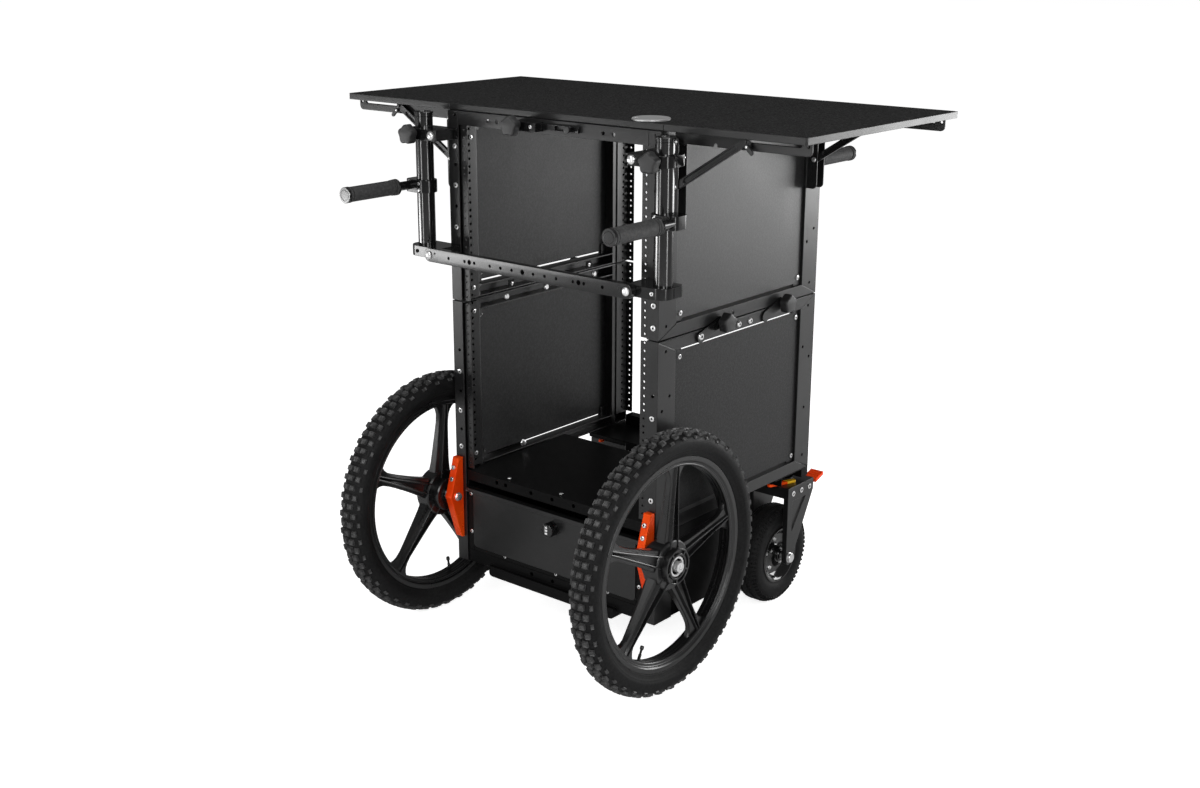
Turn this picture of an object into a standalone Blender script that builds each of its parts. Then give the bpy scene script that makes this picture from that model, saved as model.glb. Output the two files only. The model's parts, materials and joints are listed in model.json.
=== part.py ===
# Rack workstation cart: two stacked rack bays on wheels, with folding table leaves.
# All sizes below are millimetres. X runs along the front, Y backwards from the face of the
# front rack rails, and Z up from the floor. The parent empty centres the cart over the origin.
import math

import bmesh
import bpy
from mathutils import Matrix, Vector

for old_object in list(bpy.data.objects):
    bpy.data.objects.remove(old_object, do_unlink=True)

MM = 0.001
fit = 0.3  # gap between pieces that seat on each other
bore_fit = 0.4  # radial gap between a pin and its bore
sides = (-1, 1)
side_names = {-1: "left", 1: "right"}

# Rack bays
rack_unit = 44.45
rack_units = 8
rack_hole_x = 232.55
rack_hole_radius = 3.3
rack_hole_first = 6.35
rack_hole_step = 15.875
rail_hole_inset = 9.05
rail_face = 18.0
rail_thickness = 2.0
rail_depth = 42.0
seam_gap = 2.0
rail_end_gap = 3.5
bay_rise = 10.4  # from the deck to the first rack unit of the lower bay
upper_bay_rise = 4.58  # from the parting plane to the first rack unit of the upper bay

# Side frames
post_width = 28.0
post_gap = 0.5
post_depth = 55.0
frame_front_y = -6.0
frame_depth = 545.0
frame_wall = 3.0
frame_lip = 13.0
crossrail_height = 25.0
panel_thickness = 2.5
panel_inset = 5.5
panel_edge_gap = 0.6
panel_slit = 4.6
panel_tab = 21.0
deck_height = 322.5
lower_frame_drop = 21.0
base_height = 209.0

# Table
table_rise = 49.0  # from the top of the upper rack units to the tabletop
table_edge = 12.6
table_sheet = 4.0
table_wall = 3.0
table_width = 1145.7
table_front_step = 5.7
table_rear_step = 0.2
leaf_gap = 0.7
table_corner = 4.0
top_beam_height = 27.7
top_beam_depth = 20.0
apron_height = 28.0
apron_depth = 16.0
cap_radius = 36.0
cap_height = 4.5
cap_side_inset = 56.0
cap_front_inset = 36.8
cap_stem_radius = 24.0

# Leaf brackets
channel_setback = 20.0
channel_rear_step = 1.0
channel_depth = 28.0
channel_reach = 24.0
channel_wall = 2.5
channel_bottom_drop = 173.6
channel_top_drop = 24.1
leaf_pivot_out = 16.0
leaf_pivot_drop = 32.6
strut_foot_drop = 113.6
strut_top_out = 151.0
strut_top_drop = 18.1
strut_width = 14.0
strut_thickness = 7.0
arm_thickness = 4.0
arm_low_drop = 35.6
arm_end_inset = 5.35
arm_slot_inset = 20.5
arm_slot_height = 5.4
arm_hole_inset = 7.5
pin_radius = 2.6
lever_length = 15.0
lever_width = 8.0
lever_thickness = 4.0
lever_pivot_out = 4.5
lever_pivot_down = 9.5

# Push tubes, clamps, handles and accessory bar
tube_out = 35.0
tube_y = -39.0
tube_radius = 18.0
tube_wall = 2.0
tube_top_drop = 15.6
clamp_height = 22.0
upper_clamp_drop = 57.6
lower_clamp_rise = 110.0
clamp_front_y = -70.0
clamp_wall = 7.0
handle_out = 28.7
handle_drop = 164.6
handle_stem_radius = 9.0
handle_stem_back_y = -24.0
handle_front_y = -230.0
grip_radius = 15.0
grip_length = 133.0
handle_clamp_height = 26.0
rear_handle_inset = 15.0
rear_handle_drop = 122.9
rear_handle_length = 140.7
bar_thickness = 13.7
bar_height = 28.0
bar_hole_radius = 3.2
bar_bolt_radius = 5.0
bar_hole_x = (28.0, 57.2, 86.0, 128.0, 154.5, 199.0)
bar_bolt_x = (0.0, 141.5)
knob_radius = 20.0
knob_lobe_depth = 3.2
knob_lobes = 5
knob_head = 18.0
knob_neck = 6.0
knob_neck_radius = 9.0

# Seam latches
latch_insets = (141.6, 79.0)  # from the window's front and rear edges
latch_bolt_insets = (83.0, 137.6)
latch_rise = 5.0
latch_bolt_drop = 14.0
latch_thickness = 4.0
latch_strap_radius = 11.0
latch_weld_radius = 9.0

# Base and drawer
base_side_inset = 2.0
base_rear_inset = 224.0
base_front_y = -3.0
base_wall = 3.0
deck_beam_height = 23.0
deck_hole_x = (0.0, 58.0, 129.6, 155.0)
deck_hole_radius = 4.0
deck_hole_inset = 10.5
drawer_mouth_rise = 28.0
drawer_side_gap = 33.0
drawer_rear_gap = 28.0
drawer_lip_height = 8.0
drawer_top_drop = 37.0
drawer_face_recess = 4.0
drawer_wall = 2.0
drawer_floor_rise = 8.5
drawer_lock_x = 6.0
drawer_lock_drop = 29.5
drawer_lock_radius = 16.0
drawer_lock_length = 20.0
step_half_width = 172.0
step_front_y = -14.0
step_depth = 34.0
step_height = 23.0
step_drop = 14.0

# Rear chassis
chassis_depth = 129.0
chassis_height = 20.7
cross_beam_depth = 25.0
cross_beam_rise = 3.0

# Front wheels
wheel_radius = 264.0
wheel_out = 39.7
axle_y = -24.0
tyre_half_width = 29.0
tyre_wall = 4.0
tyre_height = 50.0
rim_depth = 21.0
rim_half_width = 19.0
hub_radius = 36.0
hub_gap = 6.0
hub_width = 64.0
axle_radius = 8.0
spokes = 5
spoke_root_width = 46.0
spoke_tip_width = 26.0
spoke_thickness = 20.0
spoke_ridge = 7.0
spoke_lean = 6.0  # degrees by which the top spoke leans to the rear
wheel_segments = 32
bracket_thickness = 18.0
bracket_rise = 86.0
bracket_drop = 95.5
bracket_nose_y = -44.0
bracket_wells = ((64.0, -25.0), (39.0, -30.0))  # height above the axle, then Y
bracket_well_radius = 5.2

# Casters
caster_side_inset = 42.5
caster_rear_inset = 37.0
caster_trail = 37.0
caster_radius = 110.0
caster_half_width = 30.0
caster_rim_radius = 62.0
fork_half_width = 51.0
fork_arm = 12.0
fork_half_depth = 50.0
bearing_height = 8.0
fork_bridge = 25.0
fork_axle_boss = 16.0
caster_axle_radius = 6.0
bearing_radius = 25.0
kingpin_radius = 8.0
kingpin_length = 11.0
pedal_pivot_back = 57.0
pedal_pivot_drop = 15.0
pedal_barrel_radius = 6.5
pedal_pin_radius = 3.0
pedal_half_width = 16.0
pedal_x_offset = 31.5
pedal_reach = 39.0
pedal_rise = 16.0
pedal_thickness = 8.0
shoe_length = 57.0
swivel_lock_thickness = 5.6
swivel_lock_width = 12.0

# Accessory arm under the table's front edge
slide_left_x = -76.0
slide_block_right_x = -12.6
slide_right_x = 79.8
slide_plate_height = 12.0
slide_plate_thickness = 6.0
slide_block_depth = 24.0
slide_block_drop = 10.0
slide_block_rise = 8.0
slide_drop = 25.6
slide_slot = (20.0, 68.0)
slide_stud_x = 60.0
slide_stud_radius = 3.6
slide_stud_length = 14.0
slide_head_radius = 7.0
slide_head_height = 4.0
slide_knob_x = -62.0
beam_hole_x = (135.0, 160.0)
beam_hole_rise = 13.5
beam_hole_radius = 3.5

bay_height = rack_units * rack_unit
split_z = deck_height + bay_rise + bay_height  # parting plane between the bays
table_top_z = split_z + bay_height + table_rise
rail_inner_x = rack_hole_x - rail_hole_inset
rail_outer_x = rail_inner_x + rail_face
body_half_width = rail_outer_x + post_gap + post_width
base_half_width = body_half_width - base_side_inset
frame_rear_y = frame_front_y + frame_depth
window_front_y = frame_front_y + post_depth
window_rear_y = frame_rear_y - post_depth
lower_frame_bottom = deck_height - lower_frame_drop
foot_z = deck_height - base_height
table_front_y = frame_front_y + table_front_step
table_depth = frame_rear_y - table_rear_step - table_front_y
cap_x = body_half_width - cap_side_inset
cap_y = table_front_y + cap_front_inset
channel_front_y = frame_front_y + channel_setback
channel_rear_y = window_rear_y + channel_rear_step
channel_bottom_z = table_top_z - channel_bottom_drop
channel_top_z = table_top_z - channel_top_drop
leaf_pivot_x = body_half_width + leaf_pivot_out
leaf_pivot_z = table_top_z - leaf_pivot_drop
strut_foot_z = table_top_z - strut_foot_drop
strut_top_x = leaf_pivot_x + strut_top_out
strut_top_z = table_top_z - strut_top_drop
arm_low_z = table_top_z - arm_low_drop
arm_end_x = 0.5 * table_width - arm_end_inset
arm_slot_end_x = arm_end_x - arm_slot_inset
arm_hole_x = arm_end_x - arm_hole_inset
tube_x = body_half_width + tube_out
tube_top_z = table_top_z - tube_top_drop
upper_clamp_z = table_top_z - upper_clamp_drop
lower_clamp_z = split_z + lower_clamp_rise
handle_x = tube_x + handle_out
handle_z = table_top_z - handle_drop
rear_handle_x = body_half_width - rear_handle_inset
rear_handle_z = table_top_z - rear_handle_drop
slide_z = table_top_z - slide_drop
latch_y = (window_front_y + latch_insets[0], window_rear_y - latch_insets[1])
latch_bolt_y = (window_front_y + latch_bolt_insets[0], window_rear_y - latch_bolt_insets[1])
latch_z = split_z + latch_rise
latch_bolt_z = split_z - latch_bolt_drop
base_depth = frame_rear_y - base_rear_inset - base_front_y
drawer_depth = base_depth - drawer_rear_gap
drawer_half_width = body_half_width - drawer_side_gap
drawer_mouth_bottom = foot_z + drawer_mouth_rise
drawer_floor_z = drawer_mouth_bottom + drawer_floor_rise
drawer_top_z = deck_height - drawer_top_drop
drawer_lock_z = drawer_top_z - drawer_lock_drop
step_bottom_z = foot_z - step_drop
step_top_z = step_bottom_z + step_height
chassis_front_y = frame_rear_y - chassis_depth
cross_beam_top_z = deck_height + cross_beam_rise
upper_frame_bottom = split_z + 1.5 * seam_gap
upper_frame_top = table_top_z - table_edge - fit
lower_frame_top = split_z + 0.5 * seam_gap
top_beam_bottom = upper_frame_top - top_beam_height
centre_half_width = 0.5 * (2 * body_half_width - fit)
leaf_inner_x = centre_half_width + leaf_gap
table_half_width = 0.5 * table_width
channel_inner_y = channel_wall + 0.5
strut_offset_y = channel_inner_y
arm_offset_y = strut_offset_y + strut_thickness + 1.5
chassis_top_z = lower_frame_bottom - fit
chassis_bottom_z = chassis_top_z - chassis_height
caster_x = body_half_width - caster_side_inset
caster_swivel_y = frame_rear_y - caster_rear_inset
caster_axle_y = caster_swivel_y - caster_trail
fork_top_z = chassis_bottom_z - bearing_height
pedal_pivot_z = fork_top_z - pedal_pivot_drop
wheel_z = wheel_radius
wheel_x = body_half_width + wheel_out
rim_radius = wheel_radius - tyre_height
rim_inner_radius = rim_radius - rim_depth
hub_inner_x = body_half_width + hub_gap
hub_outer_x = hub_inner_x + hub_width
bracket_top_z = wheel_z + bracket_rise
bracket_bottom_z = wheel_z - bracket_drop
front_limit_y = axle_y - wheel_radius
rear_limit_y = frame_rear_y + rear_handle_length
cart_shift_y = -0.5 * (front_limit_y + rear_limit_y)

cart = bpy.data.objects.new("cart_origin", None)
cart.location = (0, cart_shift_y * MM, 0)
bpy.context.scene.collection.objects.link(cart)


# Materials
def make_material(name, colour, roughness, metallic):
    material = bpy.data.materials.new(name)
    material.use_nodes = True
    shader = material.node_tree.nodes["Principled BSDF"]
    shader.inputs["Base Color"].default_value = (*colour, 1)
    shader.inputs["Roughness"].default_value = roughness
    shader.inputs["Metallic"].default_value = metallic
    return material


finishes = {
    "powder_coat": ((0.03, 0.03, 0.032), 0.5, 0.4),
    "panel_coat": ((0.045, 0.045, 0.047), 0.55, 0.4),
    "black_anodised": ((0.015, 0.015, 0.017), 0.3, 0.9),
    "orange_anodised": ((0.8, 0.16, 0.02), 0.35, 0.7),
    "rubber_grip": ((0.08, 0.08, 0.08), 0.8, 0.0),
    "tyre_rubber": ((0.03, 0.03, 0.03), 0.85, 0.0),
    "wheel_nylon": ((0.02, 0.02, 0.02), 0.4, 0.0),
    "knob_plastic": ((0.12, 0.12, 0.12), 0.6, 0.0),
    "carpet_top": ((0.03, 0.03, 0.03), 0.95, 0.0),
    "cap_metal": ((0.6, 0.6, 0.6), 0.4, 0.8),
}


# Outlines, as lists of points in a plane
def circle(centre, radius, count, turn=0.0):
    return [
        (
            centre[0] + radius * math.cos(turn + 2 * math.pi * i / count),
            centre[1] + radius * math.sin(turn + 2 * math.pi * i / count),
        )
        for i in range(count)
    ]


def rectangle(u, v):
    return [(u[0], v[0]), (u[1], v[0]), (u[1], v[1]), (u[0], v[1])]


def rounded(corners, steps=4):
    """Corners are (u, v, radius); each radius becomes an arc of the given number of steps."""
    points = []
    for i, (u, v, radius) in enumerate(corners):
        here = Vector((u, v))
        if radius <= 0:
            points.append((u, v))
            continue
        before = (Vector(corners[i - 1][:2]) - here).normalized()
        after = (Vector(corners[(i + 1) % len(corners)][:2]) - here).normalized()
        half = 0.5 * before.angle(after)
        centre = here + (before + after).normalized() * radius / math.sin(half)
        start = here + before * radius / math.tan(half) - centre
        end = here + after * radius / math.tan(half) - centre
        turn = start.angle_signed(end)
        for step in range(steps + 1):
            spoke = Matrix.Rotation(-turn * step / steps, 2) @ start
            points.append(tuple(centre + spoke))
    return points


def stadium(first, second, radius, steps=6):
    """Outline around two points, with a half circle at each end."""
    along = (Vector(second) - Vector(first)).normalized()
    heading = math.atan2(along.y, along.x)
    points = []
    for centre, base in ((second, heading - math.pi / 2), (first, heading + math.pi / 2)):
        for step in range(steps + 1):
            angle = base + math.pi * step / steps
            points.append((centre[0] + radius * math.cos(angle), centre[1] + radius * math.sin(angle)))
    return points


def lobed(centre, radius, depth, lobes, count):
    """Outline of a star knob's head."""
    points = []
    for i in range(count):
        angle = 2 * math.pi * i / count
        reach = radius - depth + depth * math.cos(lobes * angle)
        points.append((centre[0] + reach * math.sin(angle), centre[1] + reach * math.cos(angle)))
    return points


# Shapes, each a bmesh in millimetres
def place(axis, u, v, along):
    if axis == "x":
        return Vector((along, u, v))
    if axis == "y":
        return Vector((u, along, v))
    return Vector((u, v, along))


def prism(outline, axis, low, high):
    shape = bmesh.new()
    face = shape.faces.new([shape.verts.new(place(axis, u, v, low)) for u, v in outline])
    grown = bmesh.ops.extrude_face_region(shape, geom=[face])
    moved = [item for item in grown["geom"] if isinstance(item, bmesh.types.BMVert)]
    bmesh.ops.translate(shape, verts=moved, vec=place(axis, 0, 0, high - low))
    bmesh.ops.recalc_face_normals(shape, faces=shape.faces)
    return shape


def box(x, y, z):
    return prism(rectangle(sorted(x), sorted(y)), "z", min(z), max(z))


def cylinder(axis, centre, radius, low, high, count=12):
    return prism(circle(centre, radius, count), axis, min(low, high), max(low, high))


def lathe(profile, axis, centre, count):
    """Closed profile of (radius, along) pairs, spun around an axis through centre."""
    shape = bmesh.new()
    first = {"x": "y", "y": "x", "z": "x"}[axis]
    loop = []
    for radius, along in profile:
        uv = (radius, 0) if first in "xy" else (0, radius)
        loop.append(shape.verts.new(place(axis, *uv, along)))
    edges = [shape.edges.new((loop[i - 1], loop[i])) for i in range(len(loop))]
    bmesh.ops.spin(
        shape,
        geom=loop + edges,
        cent=(0, 0, 0),
        axis=place(axis, 0, 0, 1),
        angle=2 * math.pi,
        steps=count,
        use_merge=True,
    )
    bmesh.ops.remove_doubles(shape, verts=shape.verts, dist=0.001)
    bmesh.ops.translate(shape, verts=shape.verts, vec=place(axis, centre[0], centre[1], 0))
    bmesh.ops.recalc_face_normals(shape, faces=shape.faces)
    return shape


def mirrored(shape, side):
    """The same shape on the given side of the cart."""
    if side < 0:
        bmesh.ops.scale(shape, verts=shape.verts, vec=(-1, 1, 1))
        bmesh.ops.reverse_faces(shape, faces=shape.faces)
    return shape


def turned(shape, axis, angle, centre):
    bmesh.ops.rotate(shape, verts=shape.verts, cent=centre, matrix=Matrix.Rotation(angle, 3, axis))
    return shape


def gathered(shapes):
    """Several separate shapes as one, such as a row of hole cutters."""
    whole = bmesh.new()
    for shape in shapes:
        part = bpy.data.meshes.new("part")
        shape.to_mesh(part)
        shape.free()
        whole.from_mesh(part)
        bpy.data.meshes.remove(part)
    return whole


class Piece:
    """One named sub-part: a first shape, then the shapes that are joined to it or cut from it."""

    def __init__(self, name, finish, pivot=(0, 0, 0), side=1):
        self.name = name
        self.finish = finish
        self.side = side
        self.pivot = Vector(pivot)
        self.object = None
        self.steps = 0

    def new_object(self, name, shape):
        mirrored(shape, self.side)
        bmesh.ops.translate(shape, verts=shape.verts, vec=-self.pivot)
        bmesh.ops.scale(shape, verts=shape.verts, vec=(MM, MM, MM))
        mesh = bpy.data.meshes.new(name)
        shape.to_mesh(mesh)
        shape.free()
        made = bpy.data.objects.new(name, mesh)
        made.parent = cart
        made.location = self.pivot * MM
        bpy.context.scene.collection.objects.link(made)
        return made

    def start(self, shape):
        self.object = self.new_object(self.name, shape)
        colour, roughness, metallic = finishes[self.finish]
        self.object.data.materials.append(make_material(self.name, colour, roughness, metallic))
        self.object.data.shade_smooth()
        self.object.data.set_sharp_from_angle(angle=math.radians(35))
        return self

    def combine(self, operation, shape):
        self.steps += 1
        helper = self.new_object(f"{self.name}_{operation.lower()}_{self.steps}", shape)
        helper.hide_render = True
        helper.display_type = "WIRE"
        modifier = self.object.modifiers.new(operation.title(), "BOOLEAN")
        modifier.operation = operation
        modifier.object = helper
        return self

    def add(self, *shapes):
        for shape in shapes:
            self.combine("UNION", shape)
        return self

    def cut(self, *shapes):
        for shape in shapes:
            self.combine("DIFFERENCE", shape)
        return self


def front_hole(x, z, radius, front, depth, count=6):
    """Cutter for a hole through a wall that faces the front."""
    return cylinder("y", (x, z), radius, front - 1, front + depth + 1, count)


def rack_hole_heights(bottom_z):
    """Three holes to each rack unit, at the standard spacing."""
    return [
        bottom_z + unit * rack_unit + rack_hole_first + hole * rack_hole_step
        for unit in range(rack_units)
        for hole in range(3)
    ]


def hole_column(bottom_z, face_y):
    heights = rack_hole_heights(bottom_z)
    return gathered([front_hole(rack_hole_x, z, rack_hole_radius, face_y, rail_thickness) for z in heights])


def rail_outline(face_y, inward):
    """Section of an angle rail whose face stands at face_y; inward is +1 at the front, -1 at the rear."""
    return [
        (rail_inner_x, face_y),
        (rail_outer_x, face_y),
        (rail_outer_x, face_y + inward * rail_depth),
        (rail_outer_x - rail_thickness, face_y + inward * rail_depth),
        (rail_outer_x - rail_thickness, face_y + inward * rail_thickness),
        (rail_inner_x, face_y + inward * rail_thickness),
    ]


def front_rails():
    bays = {
        "upper": (split_z + rail_end_gap, top_beam_bottom - fit, split_z + upper_bay_rise),
        "lower": (deck_height + rail_end_gap, split_z - rail_end_gap, split_z - bay_height),
    }
    for bay, (low, high, first_unit) in bays.items():
        for side in sides:
            rail = Piece(f"{bay}_{side_names[side]}_front_rack_rail", "powder_coat", side=side)
            rail.start(prism(rail_outline(0, 1), "z", low, high))
            rail.cut(hole_column(first_unit, 0))


def post_pocket(y_low, y_high, lip_low, lip_high, z_low, z_high):
    """Hollow of a post: a wide pocket behind a mouth that its inner lip narrows."""
    inner = body_half_width - post_width
    outer = body_half_width - frame_wall
    return (
        box((inner + frame_wall, outer), (y_low, y_high), (z_low, z_high)),
        box((inner - 1, inner + frame_wall + 1), (lip_low, lip_high), (z_low, z_high)),
    )


def side_frame(name, side, bottom, top, leg_bottom):
    inner = body_half_width - post_width
    outer = body_half_width
    post_bottom = bottom if leg_bottom is None else leg_bottom
    frame = Piece(name, "powder_coat", side=side)
    outline = rectangle((frame_front_y, frame_rear_y), (bottom, top))
    if leg_bottom is not None:
        outline = [
            (frame_front_y, leg_bottom),
            (window_front_y, leg_bottom),
            (window_front_y, bottom),
            (frame_rear_y, bottom),
            (frame_rear_y, top),
            (frame_front_y, top),
        ]
    frame.start(prism(outline, "x", inner, outer))
    window = rectangle(
        (window_front_y, window_rear_y), (bottom + crossrail_height, top - crossrail_height)
    )
    frame.cut(prism(window, "x", inner - 1, outer + 1))
    frame.cut(
        *post_pocket(
            frame_front_y + frame_wall,
            window_front_y - frame_wall,
            frame_front_y + frame_wall,
            window_front_y - frame_lip,
            post_bottom + frame_wall,
            top - frame_wall,
        )
    )
    frame.cut(
        *post_pocket(
            window_rear_y + frame_wall,
            frame_rear_y - frame_wall,
            window_rear_y + frame_lip,
            frame_rear_y - frame_wall,
            bottom + frame_wall,
            top - frame_wall,
        )
    )
    for low, high in ((bottom, bottom + crossrail_height), (top - crossrail_height, top)):
        hollow = box(
            (inner - 1, outer - frame_wall),
            (window_front_y, window_rear_y),
            (low + frame_wall, high - frame_wall),
        )
        frame.cut(hollow)
    tab_x = outer - panel_inset - panel_thickness - fit
    for y_low, y_high in (
        (window_front_y - 1, window_front_y + panel_tab),
        (window_rear_y - panel_tab, window_rear_y + 1),
    ):
        for z_low, z_high in (
            (bottom + crossrail_height - 1, bottom + crossrail_height + panel_tab),
            (top - crossrail_height - panel_tab, top - crossrail_height + 1),
        ):
            frame.add(box((tab_x - frame_wall, tab_x), (y_low, y_high), (z_low, z_high)))
    return frame


def add_rear_rail(frame, low, high, first_unit):
    """The rear rack angle, welded to the rear post by its lip."""
    rail = prism(rail_outline(frame_rear_y, -1), "z", low, high)
    weld = box(
        (rail_outer_x - 1, body_half_width - post_width + 1),
        (frame_rear_y - 1.5, frame_rear_y - 0.5),
        (low + 4, high - 4),
    )
    frame.add(rail, weld)
    frame.cut(hole_column(first_unit, frame_rear_y - rail_thickness))


def wall_channel(y_low):
    """Upright channel that carries a leaf's arm and strut."""
    outline = rounded(
        [
            (body_half_width - 1, channel_bottom_z, 0),
            (body_half_width + channel_reach, channel_bottom_z, 9),
            (body_half_width + channel_reach, channel_top_z, 5),
            (body_half_width - 1, channel_top_z, 0),
        ]
    )
    return prism(outline, "y", y_low, y_low + channel_depth)


def channel_slot(y_low):
    return box(
        (body_half_width + channel_wall, body_half_width + channel_reach + 1),
        (y_low + channel_wall, y_low + channel_depth - channel_wall),
        (channel_bottom_z - 1, channel_top_z + 1),
    )


def channel_pin(y_low, z):
    return cylinder(
        "y",
        (leaf_pivot_x, z),
        pin_radius,
        y_low + channel_wall - 1,
        y_low + channel_depth - channel_wall + 1,
        10,
    )


def side_frames():
    for side in sides:
        frame = side_frame(
            f"upper_{side_names[side]}_frame", side, upper_frame_bottom, upper_frame_top, None
        )
        add_rear_rail(
            frame, upper_frame_bottom + 1, upper_frame_top - 2 * frame_wall, split_z + upper_bay_rise
        )
        for y_low in (channel_front_y, channel_rear_y):
            frame.add(wall_channel(y_low))
            frame.cut(channel_slot(y_low))
            frame.add(channel_pin(y_low, leaf_pivot_z), channel_pin(y_low, strut_foot_z))
        lower = side_frame(
            f"lower_{side_names[side]}_frame", side, lower_frame_bottom, lower_frame_top, foot_z
        )
        add_rear_rail(
            lower, cross_beam_top_z + fit, lower_frame_top - 1, split_z - bay_height
        )
        for knob_y, bolt_y in zip(latch_y, latch_bolt_y):
            strap = prism(
                stadium((bolt_y, latch_bolt_z), (knob_y, latch_z), latch_strap_radius),
                "x",
                body_half_width + fit,
                body_half_width + latch_thickness,
            )
            weld = cylinder(
                "x",
                (bolt_y, latch_bolt_z),
                latch_weld_radius,
                body_half_width - 1,
                body_half_width + 1,
                10,
            )
            lower.add(strap, weld)


def side_panels():
    bays = {
        "upper": (upper_frame_bottom, upper_frame_top),
        "lower": (lower_frame_bottom, lower_frame_top),
    }
    outer = body_half_width - panel_inset
    for bay, (bottom, top) in bays.items():
        low = bottom + crossrail_height + panel_edge_gap
        high = top - crossrail_height - panel_edge_gap
        front = window_front_y + panel_edge_gap
        rear = window_rear_y - panel_edge_gap
        ear = panel_tab + 3
        outline = [
            (front, low),
            (front + ear, low),
            (front + ear, low + panel_slit),
            (rear - ear, low + panel_slit),
            (rear - ear, low),
            (rear, low),
            (rear, high),
            (rear - ear, high),
            (rear - ear, high - panel_slit),
            (front + ear, high - panel_slit),
            (front + ear, high),
            (front, high),
        ]
        for side in sides:
            panel = Piece(f"{bay}_{side_names[side]}_side_panel", "panel_coat", side=side)
            panel.start(prism(outline, "x", outer - panel_thickness, outer))


def top_beam():
    beam = Piece("top_front_beam", "powder_coat")
    bottom = top_beam_bottom
    rear = frame_front_y + top_beam_depth
    section = [
        (frame_front_y, bottom),
        (rear, bottom),
        (rear, bottom + frame_wall),
        (frame_front_y + frame_wall, bottom + frame_wall),
        (frame_front_y + frame_wall, upper_frame_top - frame_wall),
        (rear, upper_frame_top - frame_wall),
        (rear, upper_frame_top),
        (frame_front_y, upper_frame_top),
    ]
    half = body_half_width - post_width - fit
    beam.start(prism(section, "x", -half, half))
    holes = [
        front_hole(side * x, bottom + beam_hole_rise, beam_hole_radius, frame_front_y, frame_wall)
        for x in beam_hole_x
        for side in sides
    ]
    beam.cut(gathered(holes))
    stud_end = frame_front_y - slide_stud_length
    head_end = stud_end - slide_head_height
    at_stud = (slide_stud_x, slide_z)
    beam.add(
        cylinder("y", at_stud, slide_stud_radius, stud_end, frame_front_y + 1, 10),
        cylinder("y", at_stud, slide_head_radius, head_end, stud_end + 0.7, 12),
    )


def pan(x_low, x_high, outer_radius):
    """A shallow table section: a sheet with its four edges turned down."""
    y_low = table_front_y
    y_high = table_front_y + table_depth
    edge_bottom = table_top_z - table_edge
    outline = rounded(
        [
            (x_low, y_low, 0),
            (x_high, y_low, outer_radius),
            (x_high, y_high, outer_radius),
            (x_low, y_high, 0),
        ],
        3,
    )
    hollow = box(
        (x_low + table_wall, x_high - table_wall),
        (y_low + table_wall, y_high - table_wall),
        (edge_bottom - 1, table_top_z - table_sheet),
    )
    return prism(outline, "z", edge_bottom, table_top_z), hollow


def table_centre():
    whole, hollow = pan(-centre_half_width, centre_half_width, 0)
    centre = Piece("centre_top", "carpet_top")
    centre.start(whole)
    centre.cut(hollow)
    apron_rear = frame_rear_y - frame_wall - fit
    half = body_half_width - post_width - fit
    rail_clear = rail_inner_x - fit
    centre.add(
        box(
            (-rail_clear, rail_clear),
            (apron_rear - apron_depth, apron_rear),
            (upper_frame_top - apron_height, table_top_z - table_sheet + 1),
        )
    )
    centre.cut(
        box(
            (-half, half),
            (apron_rear - apron_depth - 1, apron_rear - frame_wall),
            (upper_frame_top - apron_height + frame_wall, upper_frame_top),
        )
    )
    centre.cut(
        cylinder("z", (cap_x, cap_y), cap_stem_radius + bore_fit, table_top_z - 20, table_top_z + 1, 20)
    )


def cable_cap():
    cap = Piece("cable_pass_cap", "cap_metal", pivot=(cap_x, cap_y, table_top_z))
    cap.start(
        lathe(
            [
                (cap_stem_radius - 3, table_top_z - table_sheet),
                (cap_stem_radius, table_top_z - table_sheet),
                (cap_stem_radius, table_top_z + fit),
                (cap_radius, table_top_z + fit),
                (cap_radius, table_top_z + cap_height - 1.5),
                (cap_radius - 1.5, table_top_z + cap_height),
                (0, table_top_z + cap_height),
                (0, table_top_z + fit + 1),
                (cap_stem_radius - 3, table_top_z + fit + 1),
            ],
            "z",
            (cap_x, cap_y),
            20,
        )
    )
    mouth = prism(
        rounded(
            [
                (cap_x - cap_radius - 2, cap_y - 6, 0),
                (cap_x - cap_radius + 13, cap_y - 6, 5),
                (cap_x - cap_radius + 13, cap_y + 6, 5),
                (cap_x - cap_radius - 2, cap_y + 6, 0),
            ],
            3,
        ),
        "z",
        table_top_z,
        table_top_z + cap_height + 1,
    )
    cap.cut(turned(mouth, "Z", math.radians(50), (cap_x, cap_y, 0)))


def leaf_arm(y_low):
    bottom_corner = 9.0
    outline = rounded(
        [
            (leaf_pivot_x - 8, arm_low_z - 4, 6),
            (leaf_pivot_x + 10, arm_low_z - 4, 6),
            (leaf_pivot_x + 18, arm_low_z, 0),
            (arm_end_x, arm_low_z, bottom_corner),
            (arm_end_x, table_top_z - table_sheet + 1, 0),
            (leaf_pivot_x - 8, table_top_z - table_sheet + 1, 0),
        ],
        3,
    )
    return prism(outline, "y", y_low, y_low + arm_thickness)


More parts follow.
